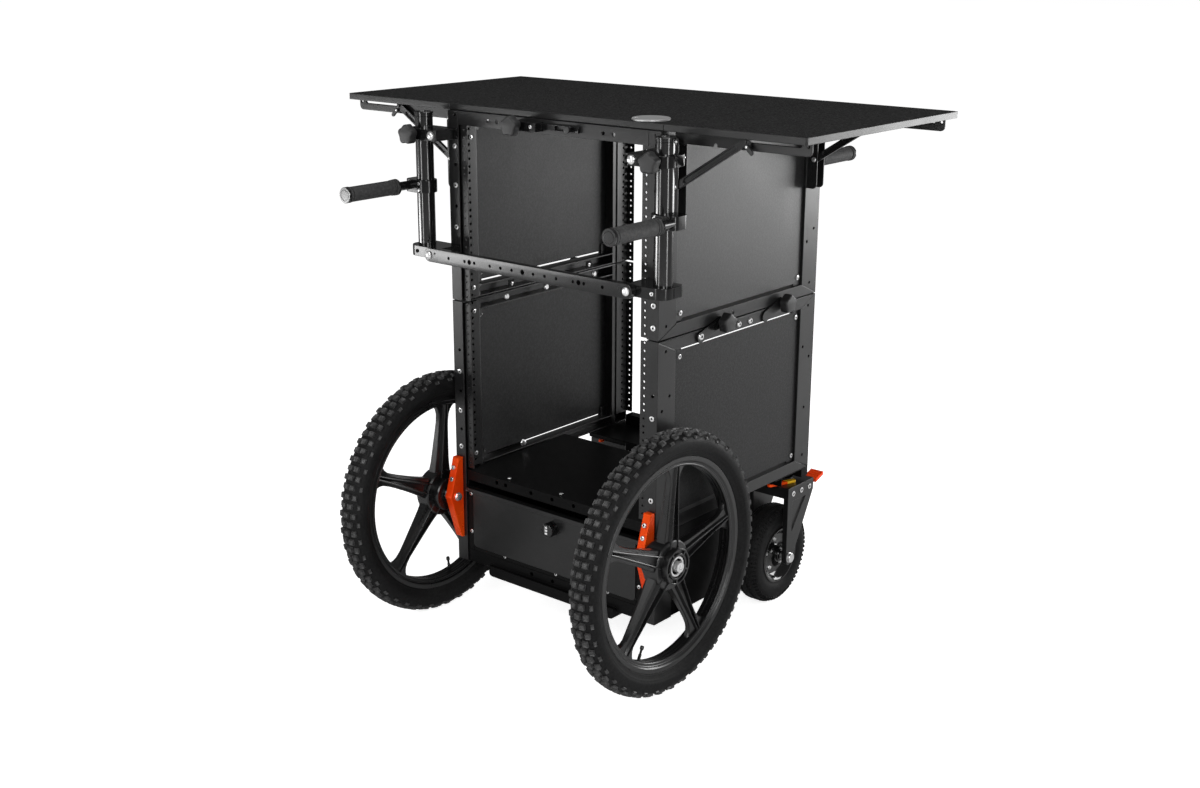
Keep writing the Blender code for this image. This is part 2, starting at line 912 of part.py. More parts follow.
def table_leaves():
    for side in sides:
        leaf = Piece(
            f"{side_names[side]}_table_leaf",
            "carpet_top",
            pivot=(side * leaf_pivot_x, 0, leaf_pivot_z),
            side=side,
        )
        whole, hollow = pan(leaf_inner_x, table_half_width, table_corner)
        leaf.start(whole)
        leaf.cut(hollow)
        for y_low in (channel_front_y, channel_rear_y):
            arm_y = y_low + arm_offset_y
            leaf.add(leaf_arm(arm_y))
            slot = stadium(
                (strut_top_x, strut_top_z),
                (arm_slot_end_x - arm_slot_height / 2, strut_top_z),
                arm_slot_height / 2,
                2,
            )
            through = (arm_y - 1, arm_y + arm_thickness + 1)
            leaf.cut(prism(slot, "y", *through))
            leaf.cut(cylinder("y", (arm_hole_x, strut_top_z), 3.0, *through, 6))
            drop = leaf_pivot_z - strut_foot_z
            notch = stadium(
                (leaf_pivot_x + drop, leaf_pivot_z),
                (leaf_pivot_x + drop, arm_low_z - 6),
                pin_radius + 1.2,
                4,
            )
            leaf.cut(prism(notch, "y", *through))
            leaf.cut(
                cylinder("y", (leaf_pivot_x, leaf_pivot_z), pin_radius + bore_fit, *through, 8)
            )


def lever_pivot():
    return (strut_top_x + lever_pivot_out, strut_top_z - lever_pivot_down)


def leaf_struts():
    foot = (leaf_pivot_x, strut_foot_z)
    top = (strut_top_x, strut_top_z)
    along = (Vector(top) - Vector(foot)).normalized()
    groove = [tuple(Vector(foot) + along * 24), tuple(Vector(top) - along * 26)]
    pivot = lever_pivot()
    for place_name, channel_y in (("front", channel_front_y), ("rear", channel_rear_y)):
        y_low = channel_y + strut_offset_y
        y_high = y_low + strut_thickness
        for side in sides:
            strut = Piece(
                f"{side_names[side]}_{place_name}_leaf_strut",
                "powder_coat",
                pivot=(side * leaf_pivot_x, 0, strut_foot_z),
                side=side,
            )
            strut.start(prism(stadium(foot, top, strut_width / 2, 4), "y", y_low, y_high))
            strut.add(prism(stadium(top, pivot, 6.0, 2), "y", y_low + 0.5, y_high - 0.5))
            strut.cut(prism(stadium(*groove, strut_width / 2 - 3, 2), "y", y_low - 1, y_low + 3))
            strut.cut(cylinder("y", foot, pin_radius + bore_fit, y_low - 1, y_high + 1, 8))
            strut.add(
                cylinder("y", top, 4.0, y_low - 3, y_low + 1, 6),
                cylinder("y", pivot, 1.8, y_low - lever_thickness - fit, y_low + 1, 6),
            )


def release_levers():
    pivot = lever_pivot()
    tip = (pivot[0] + lever_length * 0.72, pivot[1] - lever_length * 0.7)
    for place_name, channel_y in (("front", channel_front_y), ("rear", channel_rear_y)):
        y_high = channel_y + strut_offset_y - fit
        y_low = y_high - lever_thickness
        for side in sides:
            lever = Piece(
                f"{side_names[side]}_{place_name}_release_lever",
                "knob_plastic",
                pivot=(side * pivot[0], 0, pivot[1]),
                side=side,
            )
            lever.start(prism(stadium(pivot, tip, lever_width / 2, 4), "y", y_low, y_high))
            lever.cut(cylinder("y", pivot, 1.8 + bore_fit, y_low - 1, y_high + 1, 8))


def tube_grip_outline(inner_x, rear_y):
    """Plan of a clamp body: square at the post, round where it wraps the tube."""
    outer_x = tube_x + tube_radius + clamp_wall
    corner = tube_radius + clamp_wall - 2
    return rounded(
        [
            (inner_x, rear_y, 2),
            (outer_x, rear_y, 12),
            (outer_x, clamp_front_y, corner),
            (inner_x, clamp_front_y, 4),
        ],
        5,
    )


def push_tubes():
    inner_x = body_half_width - post_width
    rear_y = frame_front_y - fit
    for side in sides:
        tube = Piece(f"{side_names[side]}_push_tube", "black_anodised", side=side)
        low = lower_clamp_z - clamp_height / 2
        tube.start(prism(tube_grip_outline(inner_x, rear_y), "z", low, low + clamp_height))
        tube.add(
            cylinder("z", (tube_x, tube_y), tube_radius, low + 2, tube_top_z - 3, 20),
            cylinder("z", (tube_x, tube_y), tube_radius + 1, tube_top_z - 4, tube_top_z, 20),
        )
        tube.cut(
            cylinder("z", (tube_x, tube_y), tube_radius - tube_wall, low - 1, tube_top_z - 5, 16)
        )


def tube_clamps():
    inner_x = body_half_width - post_width
    low = upper_clamp_z - clamp_height / 2
    high = low + clamp_height
    for side in sides:
        clamp = Piece(f"{side_names[side]}_tube_clamp", "black_anodised", side=side)
        clamp.start(prism(tube_grip_outline(inner_x, frame_front_y - fit), "z", low, high))
        clamp.cut(cylinder("z", (tube_x, tube_y), tube_radius + fit, low - 1, high + 1, 24))
        slit = box(
            (tube_x, tube_x + tube_radius + clamp_wall + 1),
            (tube_y - 0.8, tube_y + 0.8),
            (low - 1, high + 1),
        )
        clamp.cut(slit)


def knob_head_shape(axis, centre, low, high, outward):
    """Star knob head with the rim of its outer face chamfered."""
    outline = lobed(centre, knob_radius, knob_lobe_depth, knob_lobes, 4 * knob_lobes)
    shape = prism(outline, axis, low, high)
    outer = max(shape.faces, key=lambda face: outward * sum(face.calc_center_median()[:]))
    bmesh.ops.bevel(
        shape, geom=outer.edges[:], offset=1.8, affect="EDGES", segments=1, profile=0.5, material=-1
    )
    return shape


def star_knob(name, axis, centre, seat, direction, pivot, side=1):
    neck_end = seat + direction * knob_neck
    head_end = neck_end + direction * knob_head
    knob = Piece(name, "knob_plastic", pivot=pivot, side=side)
    knob.start(knob_head_shape(axis, centre, *sorted((neck_end, head_end)), direction))
    knob.add(cylinder(axis, centre, knob_neck_radius, seat, neck_end + direction * 2, 10))


def clamp_knobs():
    seat = clamp_front_y - fit
    for side in sides:
        star_knob(
            f"{side_names[side]}_clamp_knob",
            "y",
            (tube_x, upper_clamp_z),
            seat,
            -1,
            (side * tube_x, seat, upper_clamp_z),
            side,
        )


def seam_knobs():
    seat = body_half_width + latch_thickness + fit
    for side in sides:
        for place_name, y in zip(("front", "rear"), latch_y):
            star_knob(
                f"{side_names[side]}_{place_name}_seam_knob",
                "x",
                (y, latch_z),
                seat,
                1,
                (side * seat, y, latch_z),
                side,
            )


def grip_profile(start, end, direction, stem_end):
    """Handle turned about its own axis, from its stem to its end cap."""
    collar = start + direction * 4
    return [
        (0, stem_end),
        (handle_stem_radius, stem_end),
        (handle_stem_radius, start),
        (grip_radius + 1.5, start),
        (grip_radius + 1.5, collar),
        (grip_radius, collar),
        (grip_radius, end - direction),
        (grip_radius - 1, end),
        (0, end),
    ]


def front_handles():
    low = handle_z - handle_clamp_height / 2
    high = low + handle_clamp_height
    start = handle_front_y + grip_length + 4
    for side in sides:
        handle = Piece(
            f"{side_names[side]}_front_handle",
            "rubber_grip",
            pivot=(side * tube_x, tube_y, handle_z),
            side=side,
        )
        block = stadium((tube_x, tube_y), (handle_x, tube_y), tube_radius + 5, 8)
        handle.start(prism(block, "z", low, high))
        profile = grip_profile(start, handle_front_y, -1, handle_stem_back_y)
        handle.add(lathe(profile, "y", (handle_x, handle_z), 16))
        trim = box(
            (handle_x + handle_stem_radius + 2, handle_x + 40),
            (tube_y - 30, tube_y + 30),
            (low - 1, high + 1),
        )
        handle.cut(trim)
        handle.cut(
            cylinder("z", (tube_x, tube_y), tube_radius + bore_fit, low - 1, high + 1, 24)
        )


def rear_handles():
    seat = frame_rear_y + fit
    for side in sides:
        handle = Piece(f"{side_names[side]}_rear_handle", "rubber_grip", side=side)
        profile = [
            (0, seat),
            (grip_radius + 2, seat),
            (grip_radius + 2, seat + 4),
            (grip_radius, seat + 4),
            (grip_radius, rear_limit_y - 1),
            (grip_radius - 1, rear_limit_y),
            (0, rear_limit_y),
        ]
        handle.start(lathe(profile, "y", (rear_handle_x, rear_handle_z), 16))


def accessory_bar():
    bar = Piece("accessory_bar", "powder_coat")
    half = base_half_width - bar_height / 2
    rear = clamp_front_y - fit
    front = rear - bar_thickness
    outline = stadium((-half, lower_clamp_z), (half, lower_clamp_z), bar_height / 2, 6)
    bar.start(prism(outline, "y", front, rear))
    holes = []
    for row, radius in ((bar_hole_x, bar_hole_radius), (bar_bolt_x, bar_bolt_radius)):
        for x in row:
            for side in sides if x else (1,):
                holes.append(front_hole(side * x, lower_clamp_z, radius, front, bar_thickness))
    bar.cut(gathered(holes))


def accessory_slide():
    rear = frame_front_y - fit
    plate_front = rear - slide_plate_thickness
    block_front = rear - slide_block_depth
    half = slide_plate_height / 2
    slide = Piece("accessory_slide", "black_anodised")
    slide.start(
        box(
            (slide_left_x, slide_block_right_x),
            (block_front, rear),
            (slide_z - slide_block_drop, slide_z + slide_block_rise),
        )
    )
    slide.add(
        box(
            (slide_block_right_x - 2, slide_right_x),
            (plate_front, rear - 1),
            (slide_z - half, slide_z + half),
        )
    )
    slot_radius = slide_stud_radius + bore_fit
    slot_ends = (slide_slot[0] + slot_radius, slide_slot[1] - slot_radius)
    slot = stadium((slot_ends[0], slide_z), (slot_ends[1], slide_z), slot_radius, 4)
    slide.cut(prism(slot, "y", plate_front - 1, rear + 1))
    seat = block_front - fit
    star_knob(
        "accessory_slide_knob",
        "y",
        (slide_knob_x, slide_z),
        seat,
        -1,
        (slide_knob_x, seat, slide_z),
    )


def base():
    rear = base_front_y + base_depth
    inner_half = body_half_width - post_width - fit
    wide_top = lower_frame_bottom - fit
    wide_front = window_front_y + fit
    body = Piece("base_housing", "powder_coat")
    body.start(box((-inner_half, inner_half), (base_front_y, rear), (foot_z, deck_height)))
    body.add(box((-base_half_width, base_half_width), (wide_front, rear - 0.5), (foot_z + 0.5, wide_top)))
    wall = base_wall
    body.cut(
        box(
            (-inner_half + wall, inner_half - wall),
            (base_front_y + wall, rear - wall),
            (foot_z + wall, deck_height - wall),
        )
    )
    body.cut(
        box(
            (-base_half_width + wall, base_half_width - wall),
            (wide_front + wall, rear - wall - 0.5),
            (foot_z + wall, wide_top - wall),
        )
    )
    mouth = rectangle(
        (-inner_half + wall, inner_half - wall), (drawer_mouth_bottom, deck_height - deck_beam_height)
    )
    body.cut(prism(mouth, "y", base_front_y - 1, base_front_y + wall + 1))
    holes = []
    upper_row_z = deck_height - deck_hole_inset
    lower_row_z = drawer_mouth_bottom - deck_hole_inset
    for z, row in ((upper_row_z, deck_hole_x), (lower_row_z, deck_hole_x[:2])):
        for x in row:
            for side in sides if x else (1,):
                holes.append(front_hole(side * x, z, deck_hole_radius, base_front_y, base_wall))
    body.cut(gathered(holes))
    step_rear = step_front_y + step_depth
    corner = 8.0
    step = rounded(
        [
            (-step_half_width, step_bottom_z, corner),
            (step_half_width, step_bottom_z, corner),
            (step_half_width, step_top_z, 0),
            (-step_half_width, step_top_z, 0),
        ],
        3,
    )
    body.add(prism(step, "y", step_front_y, step_rear))
    body.cut(
        box(
            (-step_half_width + wall, step_half_width - wall),
            (step_front_y + wall, base_front_y - 0.5),
            (step_bottom_z + wall, step_top_z + 1),
        )
    )


def drawer_piece():
    face_front = base_front_y + base_wall - drawer_face_recess
    rear = face_front + drawer_depth
    half = drawer_half_width
    drawer = Piece("drawer", "powder_coat", pivot=(0, face_front, drawer_floor_z))
    lip_low = drawer_top_z - drawer_lip_height
    front_low = drawer_mouth_bottom + 1.0
    drawer.start(box((-half, half), (face_front, rear), (front_low, lip_low)))
    drawer.add(box((-half, half), (face_front - 9, face_front + 6), (lip_low - 0.5, drawer_top_z)))
    face = rounded(
        [
            (-half + 15, drawer_floor_z + 2, 9),
            (half - 15, drawer_floor_z + 2, 9),
            (half - 15, lip_low + 1, 0),
            (-half + 15, lip_low + 1, 0),
        ],
        3,
    )
    drawer.add(prism(face, "y", face_front - 3, face_front + 1))
    drawer.cut(
        box(
            (-half + drawer_wall, half - drawer_wall),
            (face_front + 6, rear - drawer_wall),
            (front_low + drawer_wall, drawer_top_z + 1),
        )
    )
    drawer.cut(
        cylinder(
            "y",
            (drawer_lock_x, drawer_lock_z),
            7.0 + bore_fit,
            face_front - 4,
            face_front + 7,
            14,
        )
    )
    lock_seat = face_front - 3 - fit
    lock = Piece(
        "drawer_lock_knob", "knob_plastic", pivot=(drawer_lock_x, lock_seat, drawer_lock_z)
    )
    radius = drawer_lock_radius
    lock.start(
        lathe(
            [
                (0, lock_seat - drawer_lock_length),
                (radius - 1.5, lock_seat - drawer_lock_length),
                (radius, lock_seat - drawer_lock_length + 1.5),
                (radius, lock_seat),
                (7.0, lock_seat),
                (7.0, face_front + 8),
                (0, face_front + 8),
            ],
            "y",
            (drawer_lock_x, drawer_lock_z),
            16,
        )
    )
    cam = stadium((drawer_lock_x, drawer_lock_z), (drawer_lock_x, drawer_lock_z - 18), 6.0, 4)
    lock.add(prism(cam, "y", face_front + 6 + fit, face_front + 9))


def rear_chassis():
    half = body_half_width
    front = chassis_front_y
    rear = frame_rear_y
    top = chassis_top_z
    bottom = chassis_bottom_z
    chassis = Piece("rear_chassis", "powder_coat")
    chassis.start(box((-half, half), (front, rear), (bottom, top)))
    beam_half = rail_inner_x - fit
    chassis.add(
        box(
            (-beam_half, beam_half),
            (rear - cross_beam_depth, rear),
            (top - 1, cross_beam_top_z),
        )
    )
    pocket_half = caster_x - fork_half_width - 14
    chassis.cut(
        box(
            (-pocket_half, pocket_half),
            (front + frame_wall, rear - frame_wall),
            (bottom - 1, top - frame_wall),
        )
    )
    chassis.cut(
        box(
            (-pocket_half, pocket_half),
            (rear - cross_beam_depth + frame_wall, rear - frame_wall),
            (top - frame_wall - 1, cross_beam_top_z - frame_wall),
        )
    )
    for side in sides:
        chassis.cut(
            cylinder(
                "z",
                (side * caster_x, caster_swivel_y),
                kingpin_radius + bore_fit,
                bottom - 1,
                bottom + kingpin_length + 1,
                16,
            )
        )


def axle_brackets():
    rear = frame_front_y - fit
    outer = body_half_width - 2
    inner = outer - bracket_thickness
    outline = rounded(
        [
            (rear, bracket_bottom_z, 2),
            (rear, bracket_top_z, 2),
            (rear - 12, bracket_top_z, 5),
            (bracket_nose_y, wheel_z + 1.5, 10),
            (rear - 8, bracket_bottom_z, 4),
        ],
        3,
    )
    for side in sides:
        bracket = Piece(f"{side_names[side]}_axle_bracket", "orange_anodised", side=side)
        bracket.start(prism(outline, "x", inner, outer))
        bracket.add(
            cylinder("x", (axle_y, wheel_z), 12.0, outer - 1, hub_inner_x - fit, 16),
            cylinder("x", (axle_y, wheel_z), axle_radius, outer - 2, hub_outer_x + 2, 16),
            cylinder("x", (axle_y, wheel_z), 11.0, hub_outer_x + fit, hub_outer_x + 6, 16),
        )
        for rise, y in bracket_wells:
            z = wheel_z + rise
            middle = outer - bracket_thickness / 2
            well = turned(
                cylinder("y", (middle, z), bracket_well_radius, y - 30, y + 2, 10),
                "X",
                math.radians(-14),
                (0, y, z),
            )
            bracket.cut(well)


def spoke_shape(angle):
    """A tapered spoke whose two faces rise to a ridge."""
    root = hub_radius - 10
    tip = rim_inner_radius + 3
    low = wheel_x - spoke_thickness / 2
    high = wheel_x + spoke_thickness / 2
    shape = bmesh.new()
    rings = []
    for reach, width, lift in (
        (root, spoke_root_width, spoke_ridge + 4),
        (tip, spoke_tip_width, spoke_ridge - 3),
    ):
        section = [
            (-width / 2, low),
            (0, low - lift),
            (width / 2, low),
            (width / 2, high),
            (0, high + lift),
            (-width / 2, high),
        ]
        rings.append(
            [shape.verts.new((along, axle_y + across, wheel_z + reach)) for across, along in section]
        )
    for i in range(len(rings[0])):
        shape.faces.new((rings[0][i - 1], rings[0][i], rings[1][i], rings[1][i - 1]))
    shape.faces.new(rings[0])
    shape.faces.new(list(reversed(rings[1])))
    bmesh.ops.recalc_face_normals(shape, faces=shape.faces)
    return turned(shape, "X", angle, (0, axle_y, wheel_z))


def front_wheels():
    centre = (axle_y, wheel_z)
    well = rim_inner_radius + 6
    rim_profile = [
        (rim_inner_radius, wheel_x - rim_half_width + 4),
        (rim_inner_radius, wheel_x + rim_half_width - 4),
        (rim_radius, wheel_x + rim_half_width),
        (well, wheel_x + rim_half_width - 8),
        (well, wheel_x - rim_half_width + 8),
        (rim_radius, wheel_x - rim_half_width),
    ]
    outer = []
    inner = []
    for radius, reach in (
        (well + 0.5, rim_half_width - 8.6),
        (rim_radius + 22, tyre_half_width),
        (wheel_radius - 6, tyre_half_width - 9),
        (wheel_radius, 10),
    ):
        outer.append((radius, reach))
    for radius, reach in (
        (wheel_radius - 2 * tyre_wall, 12),
        (rim_radius + 22, tyre_half_width - tyre_wall),
        (well + 0.5, rim_half_width - 12.6),
    ):
        inner.append((radius, reach))
    tyre_profile = [(radius, wheel_x + reach) for radius, reach in outer]
    tyre_profile += [(radius, wheel_x - reach) for radius, reach in reversed(outer)]
    tyre_profile += [(radius, wheel_x - reach) for radius, reach in reversed(inner)]
    tyre_profile += [(radius, wheel_x + reach) for radius, reach in inner]
    for side in sides:
        pivot = (side * wheel_x, axle_y, wheel_z)
        rim = Piece(f"{side_names[side]}_front_rim", "wheel_nylon", pivot=pivot, side=side)
        rim.start(lathe(rim_profile, "x", centre, wheel_segments))
        rim.add(cylinder("x", centre, hub_radius, hub_inner_x, hub_outer_x, 20))
        for index in range(spokes):
            rim.add(spoke_shape(2 * math.pi * index / spokes - math.radians(spoke_lean)))
        rim.cut(
            cylinder("x", centre, hub_radius - 12, hub_outer_x - 6, hub_outer_x + 1, 16),
            cylinder("x", centre, axle_radius + bore_fit, hub_inner_x - 1, hub_outer_x + 1, 12),
        )
        tyre = Piece(f"{side_names[side]}_front_tyre", "tyre_rubber", pivot=pivot, side=side)
        tyre.start(lathe(tyre_profile, "x", centre, wheel_segments))


def caster_forks():
    axle_z = caster_radius
    axle = (caster_axle_y, axle_z)
    front = caster_swivel_y - fork_half_depth
    rear = caster_swivel_y + fork_half_depth
    low_x = caster_x - fork_half_width
    high_x = caster_x + fork_half_width
    bridge_low = fork_top_z - fork_bridge
    boss = fork_axle_boss
    arm = [
        (front, fork_top_z),
        (front, axle_z),
        (front + 2, axle_z - boss + 4),
        (caster_axle_y - 5, axle_z - boss),
        (caster_axle_y + 6, axle_z - boss),
        (caster_axle_y + boss, axle_z - 4),
        (caster_axle_y + boss, axle_z + 5),
        (rear, bridge_low),
        (rear, fork_top_z),
    ]
    pedal_x = caster_x + pedal_x_offset - 4.5
    for side in sides:
        pivot = (side * caster_x, caster_swivel_y, fork_top_z)
        fork = Piece(f"{side_names[side]}_caster_fork", "powder_coat", pivot=pivot, side=side)
        fork.start(box((low_x, high_x), (front, rear), (bridge_low, fork_top_z)))
        for x_low, x_high in ((low_x, low_x + fork_arm), (high_x - fork_arm, high_x)):
            fork.add(prism(arm, "x", x_low, x_high))
        fork.cut(
            prism(
                [
                    (front + 17, bridge_low - 8),
                    (rear - 30, bridge_low - 8),
                    (caster_axle_y + 6, axle_z + 60),
                ],
                "x",
                high_x - 3,
                high_x + 1,
            )
        )
        fork.add(
            cylinder("x", axle, caster_axle_radius, low_x + 1, high_x - 1, 12),
            cylinder("x", axle, 10.0, high_x - 1, high_x + 6, 12),
            cylinder("x", axle, 10.0, low_x - 6, low_x + 1, 12),
            cylinder(
                "z",
                (caster_x, caster_swivel_y),
                bearing_radius,
                fork_top_z - 1,
                chassis_bottom_z - fit,
                16,
            ),
            cylinder(
                "z",
                (caster_x, caster_swivel_y),
                kingpin_radius,
                fork_top_z,
                chassis_bottom_z + kingpin_length,
                12,
            ),
        )
        fork.cut(
            box(
                (pedal_x - 9.5, pedal_x + 9.5),
                (rear - 7, rear + 1),
                (bridge_low - 1, fork_top_z - 6),
            )
        )
        hinge = (caster_swivel_y + pedal_pivot_back, pedal_pivot_z)
        for lug_low, lug_high in ((pedal_x - 14, pedal_x - 9), (pedal_x + 9, pedal_x + 14)):
            lug = stadium((rear - 4, pedal_pivot_z), hinge, pedal_barrel_radius, 4)
            fork.add(prism(lug, "x", lug_low, lug_high))
        fork.add(cylinder("x", hinge, pedal_pin_radius, pedal_x - 12, pedal_x + 12, 10))


def brake_pedals():
    centre_x = caster_x + pedal_x_offset
    barrel_x = centre_x - 4.5
    y = caster_swivel_y + pedal_pivot_back
    z = pedal_pivot_z
    start_y = y + pedal_barrel_radius + 2
    end_y = y + pedal_reach
    for side in sides:
        pivot = (side * barrel_x, y, z)
        pedal = Piece(f"{side_names[side]}_brake_pedal", "orange_anodised", pivot=pivot, side=side)
        half = 9 - fit
        pedal.start(cylinder("x", (y, z), pedal_barrel_radius, barrel_x - half, barrel_x + half, 14))
        neck = [
            (y, z - pedal_thickness / 2),
            (start_y + 4, z - pedal_thickness / 2 + 3),
            (start_y + 4, z + pedal_thickness / 2 + 3),
            (y, z + pedal_thickness / 2),
        ]
        pedal.add(prism(neck, "x", barrel_x - half + 1, barrel_x + half - 1))
        tread = [
            (start_y, z - 2),
            (end_y, z + pedal_rise - pedal_thickness),
            (end_y, z + pedal_rise),
            (start_y, z + pedal_thickness - 2),
        ]
        pedal.add(
            prism(tread, "x", centre_x - pedal_half_width, centre_x + pedal_half_width)
        )
        shoe = [
            (y - 6, z),
            (y + 6, z),
            (y - 1, z - shoe_length),
            (y - 13, z - shoe_length + 2),
        ]
        pedal.add(prism(shoe, "x", barrel_x - half + 1, barrel_x + half - 1))
        pedal.cut(
            cylinder("x", (y, z), pedal_pin_radius + bore_fit, barrel_x - 12, barrel_x + 12, 10)
        )


def swivel_locks():
    low = fork_top_z + fit
    high = low + swivel_lock_thickness
    nose = (caster_x + 10.5, caster_swivel_y - 62)
    tip = (caster_x + 32.5, caster_swivel_y - 5)
    middle = (0.5 * (nose[0] + tip[0]), 0.5 * (nose[1] + tip[1]))
    for side in sides:
        lock = Piece(
            f"{side_names[side]}_swivel_lock",
            "orange_anodised",
            pivot=(side * middle[0], middle[1], low),
            side=side,
        )
        lock.start(prism(stadium(nose, tip, swivel_lock_width / 2, 4), "z", low, high))


def caster_wheels():
    centre = (caster_axle_y, caster_radius)
    x = caster_x
    wide = caster_half_width
    profile = [
        (caster_axle_radius + bore_fit, x - wide),
        (18, x - wide),
        (22, x - 14),
        (caster_rim_radius - 12, x - 14),
        (caster_rim_radius, x - wide),
        (caster_radius - 14, x - wide),
        (caster_radius, x - 12),
        (caster_radius, x + 12),
        (caster_radius - 14, x + wide),
        (caster_rim_radius, x + wide),
        (caster_rim_radius - 12, x + 14),
        (22, x + 14),
        (18, x + wide),
        (caster_axle_radius + bore_fit, x + wide),
    ]
    for side in sides:
        pivot = (side * x, caster_axle_y, caster_radius)
        wheel = Piece(f"{side_names[side]}_caster_wheel", "tyre_rubber", pivot=pivot, side=side)
        wheel.start(lathe(profile, "x", centre, 20))


side_frames()
side_panels()
front_rails()
top_beam()
table_centre()
cable_cap()
table_leaves()
leaf_struts()
release_levers()
push_tubes()
tube_clamps()
clamp_knobs()
front_handles()
rear_handles()
accessory_bar()
accessory_slide()
seam_knobs()
base()
drawer_piece()
rear_chassis()
axle_brackets()
front_wheels()
caster_forks()
caster_wheels()
brake_pedals()
swivel_locks()
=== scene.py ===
import json
import math

import bmesh
import bpy
from mathutils import Matrix, Vector

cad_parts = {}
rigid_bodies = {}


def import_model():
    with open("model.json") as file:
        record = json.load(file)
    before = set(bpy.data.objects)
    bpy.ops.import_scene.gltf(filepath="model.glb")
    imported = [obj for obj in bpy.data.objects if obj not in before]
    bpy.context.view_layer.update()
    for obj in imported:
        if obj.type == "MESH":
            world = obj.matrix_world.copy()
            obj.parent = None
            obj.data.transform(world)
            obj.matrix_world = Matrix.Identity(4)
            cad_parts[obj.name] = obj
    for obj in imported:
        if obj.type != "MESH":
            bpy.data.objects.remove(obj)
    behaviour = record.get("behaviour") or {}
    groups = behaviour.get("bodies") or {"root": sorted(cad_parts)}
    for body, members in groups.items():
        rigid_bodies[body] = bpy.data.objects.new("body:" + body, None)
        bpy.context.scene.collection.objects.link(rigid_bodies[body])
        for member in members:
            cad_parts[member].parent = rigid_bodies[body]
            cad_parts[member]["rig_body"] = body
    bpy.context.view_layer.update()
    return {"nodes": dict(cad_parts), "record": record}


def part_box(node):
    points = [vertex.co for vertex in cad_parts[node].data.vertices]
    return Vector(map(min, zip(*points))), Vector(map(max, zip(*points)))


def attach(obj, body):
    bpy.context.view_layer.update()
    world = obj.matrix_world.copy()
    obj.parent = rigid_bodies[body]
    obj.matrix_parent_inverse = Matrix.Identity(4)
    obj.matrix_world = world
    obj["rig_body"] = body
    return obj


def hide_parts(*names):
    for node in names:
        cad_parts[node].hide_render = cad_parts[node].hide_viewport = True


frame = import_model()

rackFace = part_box("upper_left_front_rack_rail")[0].y  # front plane of the rack rails
sides = {"left": -1, "right": 1}
slotNames = {row["node"]: row["material_slot"] for row in frame["record"]["subparts"]}

# All shapes are made in millimetres, with y counted backwards from the rack face.
# A shape for both sides is made for the right one and mirrored.


def boxOf(node):
    # low and high corner of a CAD node
    return [Vector((corner.x, corner.y - rackFace, corner.z)) * 1000 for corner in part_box(node)]


def sideOf(node):
    return 1 if "right" in node else -1


def span(side, near, far):
    # two x values of the right side, in order on either side
    return sorted((side * near, side * far))


# Material tools
def setInputs(tree, node, links):
    # links maps an input's name or number to a socket or a fixed value
    for key, source in links.items():
        if isinstance(source, bpy.types.NodeSocket):
            tree.links.new(source, node.inputs[key])
        else:
            node.inputs[key].default_value = source


def addNode(tree, kind, links=None, **values):
    node = tree.nodes.new(kind)
    for key, value in values.items():
        setattr(node, key, value)
    setInputs(tree, node, links or {})
    return node


def mathNode(tree, operation, first, second):
    return addNode(tree, "ShaderNodeMath", {0: first, 1: second}, operation=operation).outputs[0]


def rangeNode(tree, value, low, high, newLow=0, newHigh=1):
    links = {"Value": value, "From Min": low, "From Max": high, "To Min": newLow, "To Max": newHigh}
    return addNode(tree, "ShaderNodeMapRange", links).outputs[0]


def noiseNode(tree, vector, scale, detail, roughness):
    links = {"Vector": vector, "Scale": scale, "Detail": detail, "Roughness": roughness}
    return addNode(tree, "ShaderNodeTexNoise", links).outputs["Fac"]


def mixColours(tree, factor, first, second):
    links = {"Factor": factor, 6: first, 7: (*second, 1)}
    return addNode(tree, "ShaderNodeMix", links, data_type="RGBA").outputs[2]


def newGroup(name, setting, value, outputs):
    # a pattern group with one setting beside its vector
    group = bpy.data.node_groups.new(name, "ShaderNodeTree")
    group.interface.new_socket("Vector", in_out="INPUT", socket_type="NodeSocketVector")
    socket = group.interface.new_socket(setting, in_out="INPUT", socket_type="NodeSocketFloat")
    socket.default_value = value
    for label in outputs:
        group.interface.new_socket(label, in_out="OUTPUT", socket_type="NodeSocketFloat")
    return group, group.nodes.new("NodeGroupInput").outputs, group.nodes.new("NodeGroupOutput")


def makeGrainGroup():
    # fine texture of a coat or a moulding: a soft height and a speckle mask
    group, entry, leave = newGroup("fineGrain", "Scale", 900, ["Height", "Speckle"])
    soft = noiseNode(group, entry["Vector"], entry["Scale"], 2, 0.6)
    place = {"Vector": entry["Vector"], "Scale": entry["Scale"]}
    cells = addNode(group, "ShaderNodeTexVoronoi", place, feature="SMOOTH_F1").outputs["Distance"]
    height = mathNode(group, "ADD", mathNode(group, "MULTIPLY", cells, soft), soft)
    setInputs(group, leave, {"Height": height, "Speckle": rangeNode(group, cells, 0.25, 0.75)})
    return group


def makeHandlingGroup():
    # large soft blotches, as handling and cleaning leave them
    group, entry, leave = newGroup("handlingMarks", "Scale", 9, ["Mask"])
    blotch = noiseNode(group, entry["Vector"], entry["Scale"], 4, 0.55)
    setInputs(group, leave, {"Mask": rangeNode(group, blotch, 0.35, 0.68)})
    return group


def makeDustGroup():
    # thin dust on what faces up, broken by noise
    group, entry, leave = newGroup("settledDust", "Scale", 60, ["Mask"])
    facing = addNode(group, "ShaderNodeNewGeometry").outputs["Normal"]
    upward = addNode(group, "ShaderNodeSeparateXYZ", {0: facing}).outputs["Z"]
    patch = noiseNode(group, entry["Vector"], entry["Scale"], 5, 0.7)
    spread = rangeNode(group, patch, 0.4, 0.75, 0.15, 1)
    setInputs(group, leave, {"Mask": mathNode(group, "MULTIPLY", rangeNode(group, upward, 0.1, 1), spread)})
    return group


